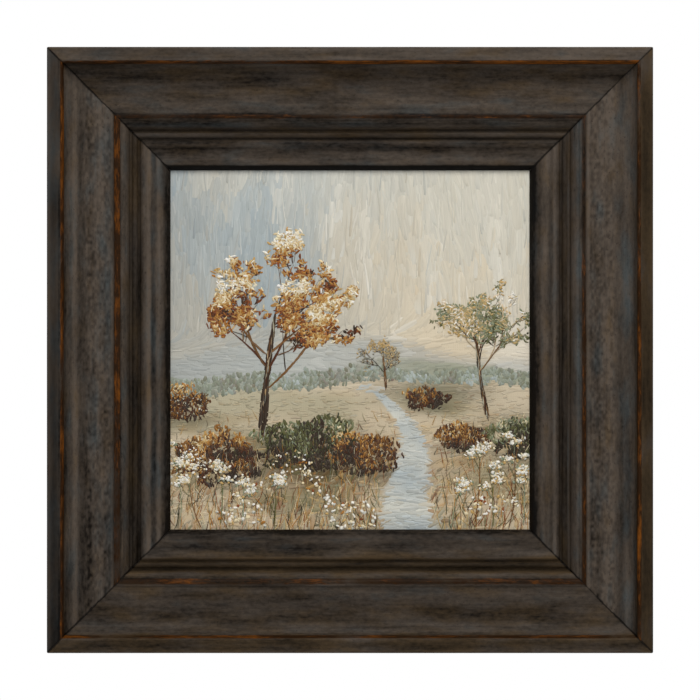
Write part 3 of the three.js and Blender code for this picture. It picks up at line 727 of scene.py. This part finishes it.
def skyAt(x, z):  # blue grey on the left, pale above, warm and light on the right
    soft = 0.5 + 0.5 * latticeNoise(x * 4 + 5, z * 1.4 + 9, 3)
    fine = 0.5 + 0.5 * latticeNoise(x * 11 + 2, z * 2.6, 8)
    warm = smoothStep(x + 0.15 * soft - 0.1 * z, -0.45, 0.65)
    worn = 0.5 + 0.5 * latticeNoise(x * 2.6 + 8, z * 1.7 + 2, 4)
    colour = mixed("mist", "haze", 0.1 + 0.85 * soft + 0.3 * x)
    colour = mixed(colour, "linen", 0.5 * smoothStep(worn, 0.45, 0.85))
    colour = mixed(colour, "cream", 0.92 * warm)
    colour = mixed(colour, "pearl", 0.75 * smoothStep(z + 0.5 * x + 0.5 * fine, 0.35, 1.4))
    colour = mixed(colour, "tan", 0.35 * smoothStep(0.4 * x - z + 0.4 * soft, 0.3, 0.9))
    return mixed(colour, "milk", 0.3 * smoothStep(fine * soft, 0.4, 0.7))


def fromStream(x, z):  # 0 in the middle of a stream that winds to the near right, 1 at its banks
    middle = 0.12 + 0.36 * smoothStep(-z, 0.2, 1.05) - 0.14 * np.sin((z + 0.2) * 6.5)
    return np.abs(x - middle) / (0.012 + 0.15 * nearness(x, z))


def meadowAt(x, z):  # pale and hazy far off, tan and ochre near, olive in the dips, with a pale stream
    depth = nearness(x, z)
    broad = 0.5 + 0.5 * latticeNoise(x * 3 + z * 2, z * 7, 21)
    fine = 0.5 + 0.5 * latticeNoise(x * 9, z * 16, 22)
    colour = mixed("linen", "tan", 0.4 * depth + 0.9 * broad * depth)
    colour = mixed(colour, "straw", 0.35 * smoothStep(fine, 0.5, 0.9) * (0.3 + depth))
    grass = mixed("sage", "olive", 0.2 + depth)
    colour = mixed(colour, grass, smoothStep(broad, 0.45, 0.85) * (0.35 + 0.4 * depth))
    colour = mixed(colour, "bronze", 0.75 * smoothStep(fine * broad, 0.3, 0.62) * depth)
    colour = mixed(colour, "bronze", 0.6 * np.exp(-((x + 0.1) / 0.5) ** 2 - ((z + 0.66) / 0.14) ** 2))
    feet = [(tree["foot"][0] + 0.25, tree["foot"][1], 0.3, 0.04) for tree in scenery["trees"]]
    for cx, cz, rx, rz in scenery["bushes"] + feet:
        shade = np.exp(-((x - cx - 0.03) / (1.1 * rx)) ** 4 - ((z - cz + 0.9 * rz) / (0.25 * rx)) ** 2)
        colour = mixed(colour, "deepOlive", 0.5 * shade)
    colour = mixed(colour, "linen", 0.5 * smoothStep(-z, 0.72, 1.0))
    water = mixed("mist", "pearl", 0.2 + 0.9 * fine)
    return mixed(colour, water, 1 - smoothStep(fromStream(x, z), 0.7, 1.05))


def pictureAt(x, z):  # the underpainting's colour
    ridge = horizonAt(x) + 0.19 + 0.06 * np.sin(2.2 * x + 2.4) + 0.02 * np.sin(7 * x)
    nearer = horizonAt(x) + 0.08 + 0.03 * np.sin(3.7 * x + 0.3)
    far = mixed("haze", "slate", 0.3 + 0.2 * np.sin(4 * x))
    near = mixed("sage", "smoke", 0.5 + 0.5 * np.sin(3 * x + 2))
    colour = mixed(skyAt(x, z), far, 0.5 * smoothStep(ridge - z, -0.03, 0.04))
    colour = mixed(colour, near, 0.7 * smoothStep(nearer - z, -0.02, 0.02))
    return mixed(colour, meadowAt(x, z), smoothStep(horizonAt(x) - z, -0.01, 0.01))


def groundAt(x, z):  # the same, at a place in metres
    return pictureAt(x / sightHalf, (z - frameMiddle) / sightHalf)


paintBody = {
    "ragged": 0.14,   # how much a stroke's edges waver
    "lumpy": 0.3,     # how much its height does
    "sunk": 0.06,     # mm that its underside lies in the cloth
    "margin": 1.5,    # mm from the cloth's edge to the nearest stroke
    "lipPlay": 0.4,   # mm inside the sight opening where the lip has pressed the paint flat
    "pressed": 0.8,   # mm over which it thins towards there
    "broad": [(-1, 0), (-0.72, 0.8), (0, 1), (0.72, 0.8), (1, 0)],  # sections: across, and up
    "dab": [(-1, 0), (-0.5, 1), (0.5, 1), (1, 0)],
}
# The strokes of each brush: how many (bark for each trunk, umbel for each tip, thicket for a bush of 1 by 1),
# length and width (mm), spread of direction (radians), bend, bluntness of the ends (power), lift of the first
# off the cloth (mm), how much higher the last lies (climb, mm), so that no two surfaces fall together,
# thickness (mm), taper and streaks. What isn't named is as in usual, or worked out where it is used.
brushes = {
    "usual": dict(length=(1, 1), width=(1, 1), bend=0.3, power=4.0, lift=0.05, climb=0.22, thick=0.12,
                  taper=0.0, streaky=0.1),
    "skyWide": dict(count=2300, length=(14, 36), width=(4, 11), spread=0.1, bend=0.14, lift=0.02, thick=0.04,
                    streaky=0.045),
    "skyDragged": dict(count=420, length=(9, 34), width=(0.7, 3.2), spread=0.09, bend=0.12, lift=0.2,
                       thick=0.04, power=5, taper=0.4),
    "meadow": dict(count=2700, length=(6, 16), width=(1.4, 3.8), spread=0.16, lift=0.1, thick=0.07),
    "trunk": dict(spread=0, bend=0.15, power=9, lift=0.5, thick=0.2, taper=0.6, streaky=0.2),
    "limb": dict(spread=0.05, bend=0.5, power=5, lift=0.42, thick=0.1, taper=0.7),
    "bark": dict(count=46, length=(5, 14), width=(0.5, 1.4), spread=0.08, bend=0.1, power=2, lift=0.66),
    "leaf": dict(length=(2.0, 5.2), width=(1.0, 2.4), spread=1.2, bend=0.6, power=1.7, lift=0.5, thick=0.1),
    "treeline": dict(count=820, length=(3, 7), width=(2.2, 4.6), spread=0.5, power=2.2, lift=0.26, climb=0.12,
                     thick=0.04),
    "thicket": dict(count=5600, length=(3, 6.5), width=(1.4, 2.8), spread=0.6, bend=0.5, power=2.0,
                    thick=0.08),
    "grass": dict(count=1900, length=(8, 26), width=(0.45, 1.1), spread=0.3, bend=0.7, power=3, lift=0.5,
                  thick=0.1, taper=0.7),
    "blossom": dict(count=2200, length=(2.0, 4.6), width=(1.6, 3.6), spread=1.0, bend=0.5, power=2.4,
                    lift=0.6, thick=0.2),
    "umbel": dict(count=16, length=(1.8, 3.6), width=(1.4, 2.8), spread=1.5, bend=0.4, power=2.4, thick=0.14),
    "stalk": dict(width=(1.1, 1.6), spread=0.1, power=6, lift=0.6, thick=0.1, taper=0.5),
}


def strokeShells(name, strokes, stations, section, finish):
    # Each stroke is a closed shell: a section of points across it, carried along a parabola. Its half width
    # follows (1 - |2t - 1| ** power) ** 0.5 * (1 - taper * t), and its ends come down to the canvas.
    n, k = len(strokes["x"]), len(section)
    t = (0.5 - 0.5 * np.cos(np.linspace(0, pi, stations)))[None, :, None]
    across, rise = (np.array(part)[None, None, :] for part in zip(*section))
    margin, lumpy = paintBody["margin"] * mm, paintBody["lumpy"]

    def each(key):
        return np.broadcast_to(strokes[key], n)[:, None, None]

    edge = np.clip(1 - np.abs(2 * t - 1) ** each("power"), 0.03, 1) ** 0.5 * (1 - each("taper") * t)
    ragged = 1 + paintBody["ragged"] * dice.uniform(-1, 1, (n, stations, k))
    side = across * edge * ragged * each("width") / 2
    ahead = (t - 0.5) * each("length") * np.ones((1, 1, k))
    bow = each("bend") * each("length") * ((t - 0.5) ** 2 - 1 / 12) / 2 + side
    c, s = np.cos(each("angle")), np.sin(each("angle"))
    x = np.clip(each("x") + ahead * c - bow * s, canvasLow.x + margin, canvasHigh.x - margin)
    z = np.clip(each("z") + ahead * s + bow * c, canvasLow.z + margin, canvasHigh.z - margin)
    height = (each("lift") + each("thick") * (1 + lumpy * dice.uniform(-1, 1, (n, stations, k)))) * rise
    height = height * np.clip(edge * 1.6 - 0.1, 0.05, 1)
    clear = sightHalf - paintBody["lipPlay"] * mm - np.maximum(np.abs(x), np.abs(z - frameMiddle))
    height = height * np.clip(clear / (paintBody["pressed"] * mm), 0.12, 1)
    height = height - paintBody["sunk"] * mm * (rise == 0)
    reach = np.maximum(np.abs(x), np.abs(z - canvasMiddle)) / (canvasHigh.x - cloth["edgeRadius"] * mm)
    dish = cloth["dish"] * mm * np.cos(np.clip(reach, 0, 1) * pi / 2) ** 2
    place = np.stack([x, canvasLow.y + dish - height, z], axis=-1).reshape(-1, 3)
    first = (np.arange(n) * stations * k)[:, None]
    quads = (tubeQuads(stations, k)[None, :, ::-1] + first[..., None]).reshape(-1, 4)
    ring = np.arange(k)[None]
    caps = list(ring + first) + list(ring[:, ::-1] + first + (stations - 1) * k)
    piece = newPiece(name, place, quads, caps, finish, sharp=75)
    fade = (t * dice.uniform(0, 1, (n, 1, 1)))[..., None]
    tone = 1 + strokes["streaky"][:, None, None, None] * dice.uniform(-1, 1, (n, 1, k, 1))
    colour, second = (strokes[key][:, None, None] for key in ("colour", "second"))
    colour = (colour * (1 - fade) + second * fade) * tone
    setColours(piece, "paint", np.clip(colour, 0, 1).reshape(-1, 3))
    pattern = np.stack([ahead + each("x") * 3, side + each("z") * 5], axis=-1)  # no two strokes match
    setPlaces(piece, "strokePlace", pattern.reshape(-1, 2))
    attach(piece, "root")
    print(f"{name}: {n} strokes")


def strokesAt(brush, x, z, colour, second, angle, size=1.0, **changes):
    # Strokes centred at these places in metres, each a little off in size, direction and curve.
    look = {**brushes["usual"], **brushes[brush], **changes}
    n = len(x)
    return {"x": x, "z": z, "colour": colour, "second": second,
            "length": dice.uniform(*look["length"], n) * mm * size,
            "width": dice.uniform(*look["width"], n) * mm * size,
            "angle": angle + dice.normal(0, look["spread"], n),
            "bend": dice.normal(0, look["bend"], n),
            "power": np.full(n, look["power"]),
            "lift": (look["lift"] + np.linspace(0, look["climb"], n)) * mm,
            "thick": dice.uniform(0.6, 1.4, n) * look["thick"] * mm,
            "taper": np.full(n, look["taper"]),
            "streaky": np.full(n, look["streaky"])}


def inMetres(x, z):  # a place in the picture
    return x * sightHalf, z * sightHalf + frameMiddle


def together(*groups):  # several groups of strokes as one
    return {key: np.concatenate([group[key] for group in groups]) for key in groups[0]}


def varied(colour, amount):  # each colour a little lighter or darker, warmer or cooler
    n = len(colour)
    warmth = amount * 0.4 * dice.normal(0, 1, (n, 1)) * np.array([[1, 0.2, -1]])
    return np.clip(colour * (1 + amount * dice.normal(0, 1, (n, 1)) + warmth), 0.005, 0.95)


def scattered(brush, zLow=-1.03, zHigh=1.03):  # as many random places as the brush has strokes
    n = brushes[brush]["count"]
    return dice.uniform(-1.03, 1.03, n), dice.uniform(zLow, zHigh, n)


def picked(names, weights, n):  # n palette colours drawn by weight
    shares = np.array(weights) / sum(weights)
    return np.stack([palette[name] for name in names])[dice.choice(len(names), n, p=shares)]


def blended(names, share):  # a run of palette colours from share 0 to share 1
    run = np.stack([palette[name] for name in names])
    place = np.clip(share, 0, 0.999) * (len(names) - 1)
    i, t = np.floor(place).astype(int), (place % 1)[:, None]
    return run[i] * (1 - t) + run[i + 1] * t


def skyStrokes():  # broad and upright, but level over the far land, with thin light ones dragged over them
    x, z = scattered("skyWide", zLow=horizonAt(0) - 0.06)
    upright = smoothStep(z - horizonAt(x), 0.2, 0.45)
    sway = latticeNoise(x * 1.7 + 3, z * 1.7, 15)
    angle = pi / 2 * upright + 0.08 * np.sin(3 * x) + 0.16 * sway * upright
    near = pictureAt(x + dice.normal(0, 0.04, len(x)), z + dice.normal(0, 0.1, len(x)) * upright)
    wide = strokesAt("skyWide", *inMetres(x, z), varied(near, 0.025), pictureAt(x, z), angle)
    wide["length"] *= 0.5 + 0.5 * upright
    wide["width"] *= 0.4 + 0.6 * upright
    x, z = scattered("skyDragged", zLow=horizonAt(0) + 0.3)
    accent = picked(["milk", "pearl", "mist", "slate", "tan"], [3, 4, 4, 1, 1], len(x))
    light = mixed(pictureAt(x, z), accent, dice.uniform(0.05, 0.3, len(x)))
    dragged = strokesAt("skyDragged", *inMetres(x, z), varied(light, 0.02), pictureAt(x, z), pi / 2)
    return together(wide, dragged)


def meadowStrokes():  # level far off, larger near by, where many of them stand upright
    x, z = scattered("meadow", zHigh=0.0)
    keep = z < horizonAt(x) + 0.012
    x, z = x[keep], z[keep]
    n, depth = len(x), nearness(x, z)
    bank = smoothStep(fromStream(x, z), 0.75, 1.1)
    accent = picked(["straw", "ochre", "olive", "rust", "butter", "sage", "deepOlive", "tan", "bronze"],
                    [5, 4, 4, 2, 4, 3, 2, 5, 3], n)
    colour = mixed(meadowAt(x, z), accent, 0.6 * dice.uniform(0, 1, n) * (0.3 + depth) * bank)
    made = strokesAt("meadow", *inMetres(x, z), varied(colour, 0.06), meadowAt(x, z), 0.0,
                     size=0.4 + 0.8 * depth)
    rising = bank * smoothStep(depth, 0.3, 0.9)
    made["angle"] += rising * dice.normal(1.2, 0.35, n) * (dice.uniform(0, 1, n) < 0.6)
    return made


def branchPoint(branch, t):  # where a parabolic stroke is at t, in metres
    ahead = (t - 0.5) * branch["length"]
    bow = branch["bend"] * branch["length"] * ((t - 0.5) ** 2 - 1 / 12) / 2
    c, s = np.cos(branch["angle"]), np.sin(branch["angle"])
    return branch["x"] + ahead * c - bow * s, branch["z"] + ahead * s + bow * c


def growFrom(parents, children, spread, ratio, thinner, fromT):
    # Each parent bears this many children past fromT, turned to either side; the first goes on ahead.
    pick = np.repeat(np.arange(len(parents["x"])), children)
    parent = {key: value[pick] for key, value in parents.items()}
    n = len(pick)
    leader = np.arange(n) % children == 0
    t = np.where(leader, 0.93, dice.uniform(fromT, 0.95, n))
    x, z = branchPoint(parent, t)
    turn = dice.uniform(0.35, 1, n) * spread * dice.choice([-1, 1], n) * np.where(leader, 0.3, 1)
    angle = parent["angle"] + parent["bend"] * (t - 0.5) + turn
    angle = angle + 0.12 * (pi / 2 - angle)
    length = parent["length"] * ratio * dice.uniform(0.6, 1.15, n) * (1.3 - 0.6 * t)
    colour = varied(picked(["bark", "deepRust", "bronze", "tan"], [6, 3, 3, 1], n), 0.12)
    made = strokesAt("limb", x, z, colour, colour * 1.15, angle)
    made["length"] = length
    made["width"] = np.maximum(parent["width"] * thinner * (1 - 0.4 * t), 0.4 * mm)
    c, s = np.cos(made["angle"]), np.sin(made["angle"])
    made["x"] = x + length / 2 * c + made["bend"] * length / 12 * s
    made["z"] = z + length / 2 * s - made["bend"] * length / 12 * c
    return made


def leafStrokes(tree, bearing):  # leaves round the last two levels of limbs, lighter towards the top
    n = tree["leaves"]
    pick = dice.integers(0, len(bearing["x"]), n)
    x, z = branchPoint({key: value[pick] for key, value in bearing.items()}, dice.uniform(0.3, 1.1, n))
    x, z = x + dice.normal(0, 1.6 * mm, n), z + dice.normal(0, 1.6 * mm, n)
    clump = latticeNoise(x / (15 * mm), z / (12 * mm), 34)
    upper = (z - np.mean(z)) / np.ptp(z)
    lit = np.sort(0.5 + 0.22 * clump + 0.3 * upper + dice.normal(0, 0.22, n))
    order = np.argsort(0.22 * clump + 0.3 * upper + dice.normal(0, 0.1, n))
    colour = blended(tree["colours"], lit)
    return strokesAt("leaf", x[order], z[order], varied(colour, 0.1), colour * 0.82, 0.0, size=tree["size"])


def treeStrokes():  # for each tree its trunk, levels of limbs and rough bark, and apart from them its leaves
    wood, leaves = [], []
    for tree in scenery["trees"]:
        lean, tall = tree["lean"], tree["tall"] * mm
        foot = np.array([tree["foot"]]).T
        trunk = strokesAt("trunk", *inMetres(*foot), palette["bark"][None], palette["bronze"][None], lean)
        trunk["length"], trunk["width"] = np.array([tall]), np.array([tree["trunk"] * mm])
        trunk["x"] += tall / 2 * cos(lean)
        trunk["z"] += tall / 2 * sin(lean)
        levels = [trunk]
        for children, habit in zip(tree["limbs"], scenery["limbs"]):
            levels.append(growFrom(levels[-1], children, *habit))
        n = brushes["bark"]["count"]
        t = dice.uniform(0.02, 0.85, n)
        x, z = branchPoint({key: np.repeat(value, n, axis=0) for key, value in trunk.items()}, t)
        colour = varied(picked(["bark", "bronze", "tan", "smoke", "deepRust"], [4, 4, 3, 2, 3], n), 0.15)
        rough = strokesAt("bark", x, z, colour, colour, lean)
        rough["x"] = x + dice.uniform(-0.3, 0.3, n) * trunk["width"] * (1 - 0.6 * t)
        wood += levels + [rough]
        leaves.append(leafStrokes(tree, together(*levels[-2:])))
    return together(*wood), together(*leaves)


def treelineStrokes():  # hazy woods along the horizon
    x, z = scattered("treeline", zLow=0.0, zHigh=1.0)
    tall = 0.03 + 0.1 * (0.5 + 0.5 * latticeNoise(x * 3.5, 0.5, 61)) + 0.02 * latticeNoise(x * 17, 0.5, 62)
    z = horizonAt(x) - 0.01 + z * tall
    clump = 0.5 + 0.3 * latticeNoise(x * 9, z * 12, 63) + dice.normal(0, 0.15, len(x))
    colour = blended(["bronze", "olive", "sage", "haze"], clump)
    colour = mixed(colour, "haze", dice.uniform(0.2, 0.45, len(x)))
    return strokesAt("treeline", *inMetres(x, z), varied(colour, 0.04), colour, pi / 2)


def thicketStrokes():  # each bush in layers from dark behind to light in front, rust or olive by turns
    groups = []
    for cx, cz, rx, rz in scenery["bushes"]:
        names = ["bark", "deepOlive", "olive", "sage", "butter"]
        if cx * 10 % 2 < 1:
            names = ["bark", "deepRust", "bronze", "ochre", "straw", "butter"]
        for layer, (share, farthest, lighter, size) in enumerate(scenery["bushLayers"]):
            n = int(brushes["thicket"]["count"] * (rx * rz) ** 0.75 * share)
            way, reach = dice.uniform(0, 2 * pi, n), dice.uniform(0, 1, n) ** 0.55 * farthest
            ragged = 1 + 0.3 * latticeNoise(way * 2.5, cx * 7, 9)
            p, q = reach * np.cos(way) * ragged, reach * np.sin(way) * ragged
            x, z = cx + rx * p, cz + rz * q
            lit = 0.26 + 0.34 * q - 0.12 * p + 0.32 * latticeNoise(x * 12, z * 14, 31)
            lit = lit + dice.normal(0, 0.07, n) + lighter
            keep = np.argsort(lit)
            keep = keep[(layer < 2) | (lit[keep] > 0.5)]
            x, z, colour = x[keep], z[keep], varied(blended(names, lit[keep]), 0.08)
            groups.append(strokesAt("thicket", *inMetres(x, z), colour, colour * 0.85,
                                    pi / 2 + 0.5 * (cx - x), size=size * (0.55 + 1.6 * rx),
                                    lift=0.3 + 0.06 * layer))
    return together(*groups)


def grassStrokes():  # thin blades, upright, more of them and longer near by
    x, z = scattered("grass", zLow=-1.02, zHigh=-0.32)
    depth = nearness(x, z)
    keep = (dice.uniform(0, 1, len(x)) < depth ** 1.2) & (fromStream(x, z) > 1.1)
    x, z, depth = x[keep], z[keep], depth[keep]
    colour = picked(["straw", "olive", "rust", "butter", "deepOlive", "ochre", "deepRust", "sage", "bark"],
                    [5, 4, 3, 4, 3, 4, 2, 2, 1], len(x))
    return strokesAt("grass", *inMetres(x, z), varied(colour, 0.1), colour, pi / 2, size=0.35 + 0.7 * depth)


def stalkStrokes():  # tall umbels in the foreground: a stalk each, and side stalks that bear the heads
    x, z, tall = np.array(scenery["umbels"]).T
    n, greens = len(tall), (["olive", "bronze", "sage"], [2, 1, 1])
    colour = varied(picked(*greens, n), 0.1)
    stalks = strokesAt("stalk", *inMetres(x, z), colour, colour, pi / 2)
    stalks["length"] = tall * mm
    stalks["x"] += stalks["length"] / 2 * np.cos(stalks["angle"])
    stalks["z"] += stalks["length"] / 2 * np.sin(stalks["angle"])
    sides = growFrom(stalks, 4, 0.7, 0.34, 0.7, 0.62)
    sides["colour"] = sides["second"] = varied(picked(*greens, 4 * n), 0.1)
    sides["lift"] = sides["lift"] + 0.2 * mm
    return together(stalks, sides), sides


def blossomStrokes(sides):  # drifts of small flowers, and heads on the side stalks, pale over dark
    x, z = scattered("blossom", zLow=-1.0, zHigh=-0.25)
    depth = nearness(x, z)
    drift = latticeNoise(x * 3.3 + 1, z * 4.5 + 4, 51) + 0.4 * latticeNoise(x * 10, z * 12, 52)
    keep = (drift > 0.15) & (fromStream(x, z) > 1.15)
    x, z, depth = x[keep], z[keep], depth[keep]
    colour = picked(["milk", "butter", "pearl", "rust", "straw", "ochre"], [8, 5, 3, 1, 2, 1], len(x))
    groups = [strokesAt("blossom", *inMetres(x, z), varied(colour, 0.05), colour * 0.85, 0.3,
                        size=0.3 + 0.75 * depth)]
    bearing = {key: np.repeat(value, brushes["umbel"]["count"], axis=0) for key, value in sides.items()}
    n = len(bearing["x"])
    tips = branchPoint(bearing, np.ones(n))
    heads = [(["tan", "sage", "straw"], 0.65, 1.2), (["milk", "milk", "pearl", "butter"], 0.8, 0)]
    for names, lift, lower in heads:
        colour = varied(picked(names, [1] * len(names), n), 0.05)
        head = strokesAt("umbel", *tips, colour, colour * 0.85, 0.0, lift=lift)
        head["x"] = tips[0] + dice.normal(0, 2.6 * mm, n)
        head["z"] = tips[1] + dice.normal(0, 1.3 * mm, n) - lower * mm
        groups.append(head)
    return together(*groups)


def oilPaint():
    # Oil colour laid on with a bristle brush: satin, with fine ridges along each stroke.
    finish, tree, shader = newFinish("oilPaint", {"Roughness": 0.5, "IOR": 1.48, "Specular IOR Level": 0.25})
    paint = addNode(tree, "Attribute", output="Color", attribute_name="paint")
    place = addNode(tree, "UVMap", uv_map="strokePlace")
    bristles = drawPatterns(tree, place, [((26, 1.1, 1), (0, 0, 0), 3, 0.6)])[0]  # marks about 1 mm apart
    # The furrows between the bristle ridges are painted darker, as painted shade, and the ridges lighter, as
    # a painted highlight.
    furrows = addNode(tree, "MapRange", (bristles, 0.3, 0.7, 0.14, 0))
    colour = addNode(tree, "Mix", {0: furrows, 6: paint, 7: "5d6066"}, 2, data_type="RGBA",
                     blend_type="MULTIPLY")
    colour = layered(tree, colour, (bristles, 0.5, 0.75, 0.1, "f3efe6"))
    bump = addNode(tree, "Bump", {"Strength": 0.35, "Distance": 0.08 * mm, "Height": bristles})
    setInputs(tree, shader, {"Base Color": colour, "Normal": bump})
    return finish


rawCanvas = wovenCanvas("rawCanvas", False)
buildCloth(wovenCanvas("primedCanvas", True), rawCanvas, groundAt)
buildFolds(rawCanvas)
print("cloth stretched")
broad, dab, paintFinish = paintBody["broad"], paintBody["dab"], oilPaint()
branches, foliage = treeStrokes()
strokeShells("skyPaint", skyStrokes(), 7, broad, paintFinish)
strokeShells("meadowPaint", meadowStrokes(), 6, broad, paintFinish)
strokeShells("treelinePaint", treelineStrokes(), 5, dab, paintFinish)
strokeShells("branchPaint", branches, 6, dab, paintFinish)
strokeShells("thicketPaint", thicketStrokes(), 5, dab, paintFinish)
strokeShells("leafPaint", foliage, 5, dab, paintFinish)
strokeShells("grassPaint", grassStrokes(), 6, dab, paintFinish)
stalks, sideStalks = stalkStrokes()
strokeShells("stalkPaint", stalks, 7, dab, paintFinish)
strokeShells("blossomPaint", blossomStrokes(sideStalks), 5, dab, paintFinish)


# The pieces behind keep their CAD shape: they get their finishes, and edges eased as by a file.
def planedPine(name, along):
    # Planed softwood, left bare: pale yellow, with darker growth lines along the grain.
    finish, tree, shader = newFinish(name, {"Roughness": 0.68, "IOR": 1.45, "Specular IOR Level": 0.3})
    place = addNode(tree, "TexCoord", output="Object")
    sizes = [3.2, 9, 3.2]  # mm from line to line across the grain
    sizes["xz".index(along) * 2] = 130
    lines, pores = drawPatterns(tree, place, [(sizes, (4, 2, 6), 3, 0.5),
                                              ([size / 3 for size in sizes], (0, 0, 0), 4, 0.6)])
    colour = layered(tree, "dcc194", (lines, 0.4, 0.62, 1, "bd9359"), (pores, 0.45, 0.75, 0.35, "a67c49"))
    bump = addNode(tree, "Bump", {"Strength": 0.35, "Distance": 0.1 * mm, "Height": pores})
    setInputs(tree, shader, {"Base Color": colour, "Normal": bump})
    return finish


def platedSteel(name, light, dark, roughness):
    # Pressed steel, bright plated: cloudy reflections, a little duller in patches.
    finish, tree, shader = newFinish(name, {"Metallic": 1.0})
    place = addNode(tree, "TexCoord", output="Object")
    clouds, ripples = drawPatterns(tree, place, [((4, 4, 4), (0, 0, 0), 4, 0.6),
                                                 ((0.7, 0.7, 0.7), (0, 0, 0), 2, 0.5)])
    bump = addNode(tree, "Bump", {"Strength": 0.2, "Distance": 0.04 * mm, "Height": ripples})
    dullness = addNode(tree, "MapRange", (clouds, 0.3, 0.7, roughness, roughness + 0.18))
    colour = layered(tree, light, (clouds, 0.35, 0.7, 1, dark))
    setInputs(tree, shader, {"Base Color": colour, "Roughness": dullness, "Normal": bump})
    return finish


def pressedFelt():
    # Dense wool felt: no shine, a soft mottled grey brown. Fibres are drawn 0.6 mm apart, so that they show.
    finish, tree, shader = newFinish("pressedFelt", {"Roughness": 0.95, "Specular IOR Level": 0.1,
                                                     "Sheen Weight": 0.3})
    place = addNode(tree, "TexCoord", output="Object")
    fibres = drawPatterns(tree, place, [((0.6, 0.6, 0.6), (0, 0, 0), 5, 0.7)])[0]
    bump = addNode(tree, "Bump", {"Strength": 0.8, "Distance": 0.3 * mm, "Height": fibres})
    colour = layered(tree, "3d3935", (fibres, 0.35, 0.7, 1, "6b655d"))
    setInputs(tree, shader, {"Base Color": colour, "Normal": bump})
    return finish


def ease(piece, width, finish):  # joins the CAD faces, rounds the edges by a width in mm, puts the finish on
    weld = piece.modifiers.new("join", "WELD")
    weld.merge_threshold = 1e-6
    bevel = piece.modifiers.new("easedEdges", "BEVEL")
    bevel.width = width * mm
    bevel.segments = 2
    bevel.limit_method = "ANGLE"
    bevel.angle_limit = radians(32)
    piece.data.materials.clear()
    piece.data.materials.append(finish)


pineAcross, pineUpright = planedPine("planedPineAcross", "x"), planedPine("planedPineUpright", "z")
zinc = platedSteel("zincPlatedSteel", "c9cccf", "a3a6aa", 0.28)
brass = platedSteel("brassPlatedSteel", "cdab62", "a5813e", 0.3)
felt = pressedFelt()
easing = {  # by the start of the node's name: width in mm, and finish
    "stretcher_bar_": (0.5, pineAcross), "corner_key_": (0.25, pineAcross), "clip_screw_": (0.12, zinc),
    "clip_": (0.2, zinc), "staple_": (0.12, zinc), "v_nail_": (0.08, zinc), "sawtooth_": (0.15, brass),
    "hanger_nail_": (0.12, brass), "wall_bumper_": (0.4, felt),
}
for name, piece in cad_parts.items():
    start = next((start for start in easing if name.startswith(start)), None)
    if start:
        eased, finish = easing[start]
        upright = name in ("stretcher_bar_left", "stretcher_bar_right")
        ease(piece, eased, pineUpright if upright else finish)
print("fittings finished")

# The studio has a pale floor far below, soft light from above and in front, and a camera square on.
studio = {
    "distance": 7.5,      # m, camera to the frame's rim
    "photoSide": 700,     # px
    "photoFrame": 606.8,  # px across the frame in the photograph
    "floorDrop": 0.9,     # m from the frame's lower edge
    "floorHalf": 20.0,    # m
    "lights": [  # place, size in m, power in W, colour
        ((0.55, -2.1, 2.1), 1.3, 72, "fffaf2"),
        ((-1.6, -2.2, 0.2), 1.6, 6, "f4f8ff"),
        ((0.8, 2.4, 1.6), 1.6, 60, "fffaf2"),
    ],
    "ambient": 0.34,
}


def paleFloor():
    # Smooth painted screed: matte, off white, hardly mottled.
    finish, tree, shader = newFinish("paleFloor", {"Roughness": 0.85, "Specular IOR Level": 0.2})
    place = addNode(tree, "TexCoord", output="Object")
    clouds = drawPatterns(tree, place, [((900, 900, 900), (0, 0, 0), 3, 0.5)])[0]
    setInputs(tree, shader, {"Base Color": layered(tree, "e9e8e5", (clouds, 0, 1, 1, "efeeeb"))})
    return finish


side, drop = studio["floorHalf"], cadLow.z - studio["floorDrop"]
corners = np.array([(-side, -side, drop), (side, -side, drop), (side, side, drop), (-side, side, drop)])
floor = newPiece("floor", corners, np.array([[0, 1, 2, 3]]), finish=paleFloor())

target = bpy.data.objects.new("lightTarget", None)
target.location = (0, backPlane, frameMiddle)
bpy.context.scene.collection.objects.link(target)
for i, (place, size, power, tint) in enumerate(studio["lights"]):
    data = bpy.data.lights.new(f"softbox{i}", "AREA")
    data.size = size
    data.energy = power
    data.color = fromHex(tint)[:3]
    lamp = bpy.data.objects.new(f"softbox{i}", data)
    lamp.location = place
    aim = lamp.constraints.new("TRACK_TO")
    aim.target = target
    aim.track_axis, aim.up_axis = "TRACK_NEGATIVE_Z", "UP_Y"
    lamp.visible_camera = False
    bpy.context.scene.collection.objects.link(lamp)

world = bpy.data.worlds.new("studio")
world.use_nodes = True
sky = world.node_tree
seen = addNode(sky, "LightPath", output="Is Camera Ray")
strength = addNode(sky, "MapRange", (seen, 0, 1, studio["ambient"], 1))  # the backdrop itself is white
setInputs(sky, sky.nodes["Background"], {"Color": "ffffff", "Strength": strength})
bpy.context.scene.world = world
bpy.context.scene.view_settings.view_transform = "Standard"
bpy.context.scene.view_settings.look = "None"

camera = bpy.data.objects.new("camera", bpy.data.cameras.new("camera"))
camera.location = (0, cadLow.y - studio["distance"], frameMiddle)
camera.rotation_euler = (pi / 2, 0, 0)
seenWidth = 2 * frameHalf * studio["photoSide"] / studio["photoFrame"]
camera.data.lens = camera.data.sensor_width * studio["distance"] / seenWidth
camera.data.clip_end = 100
bpy.context.scene.collection.objects.link(camera)
bpy.context.scene.camera = camera
print("studio ready")
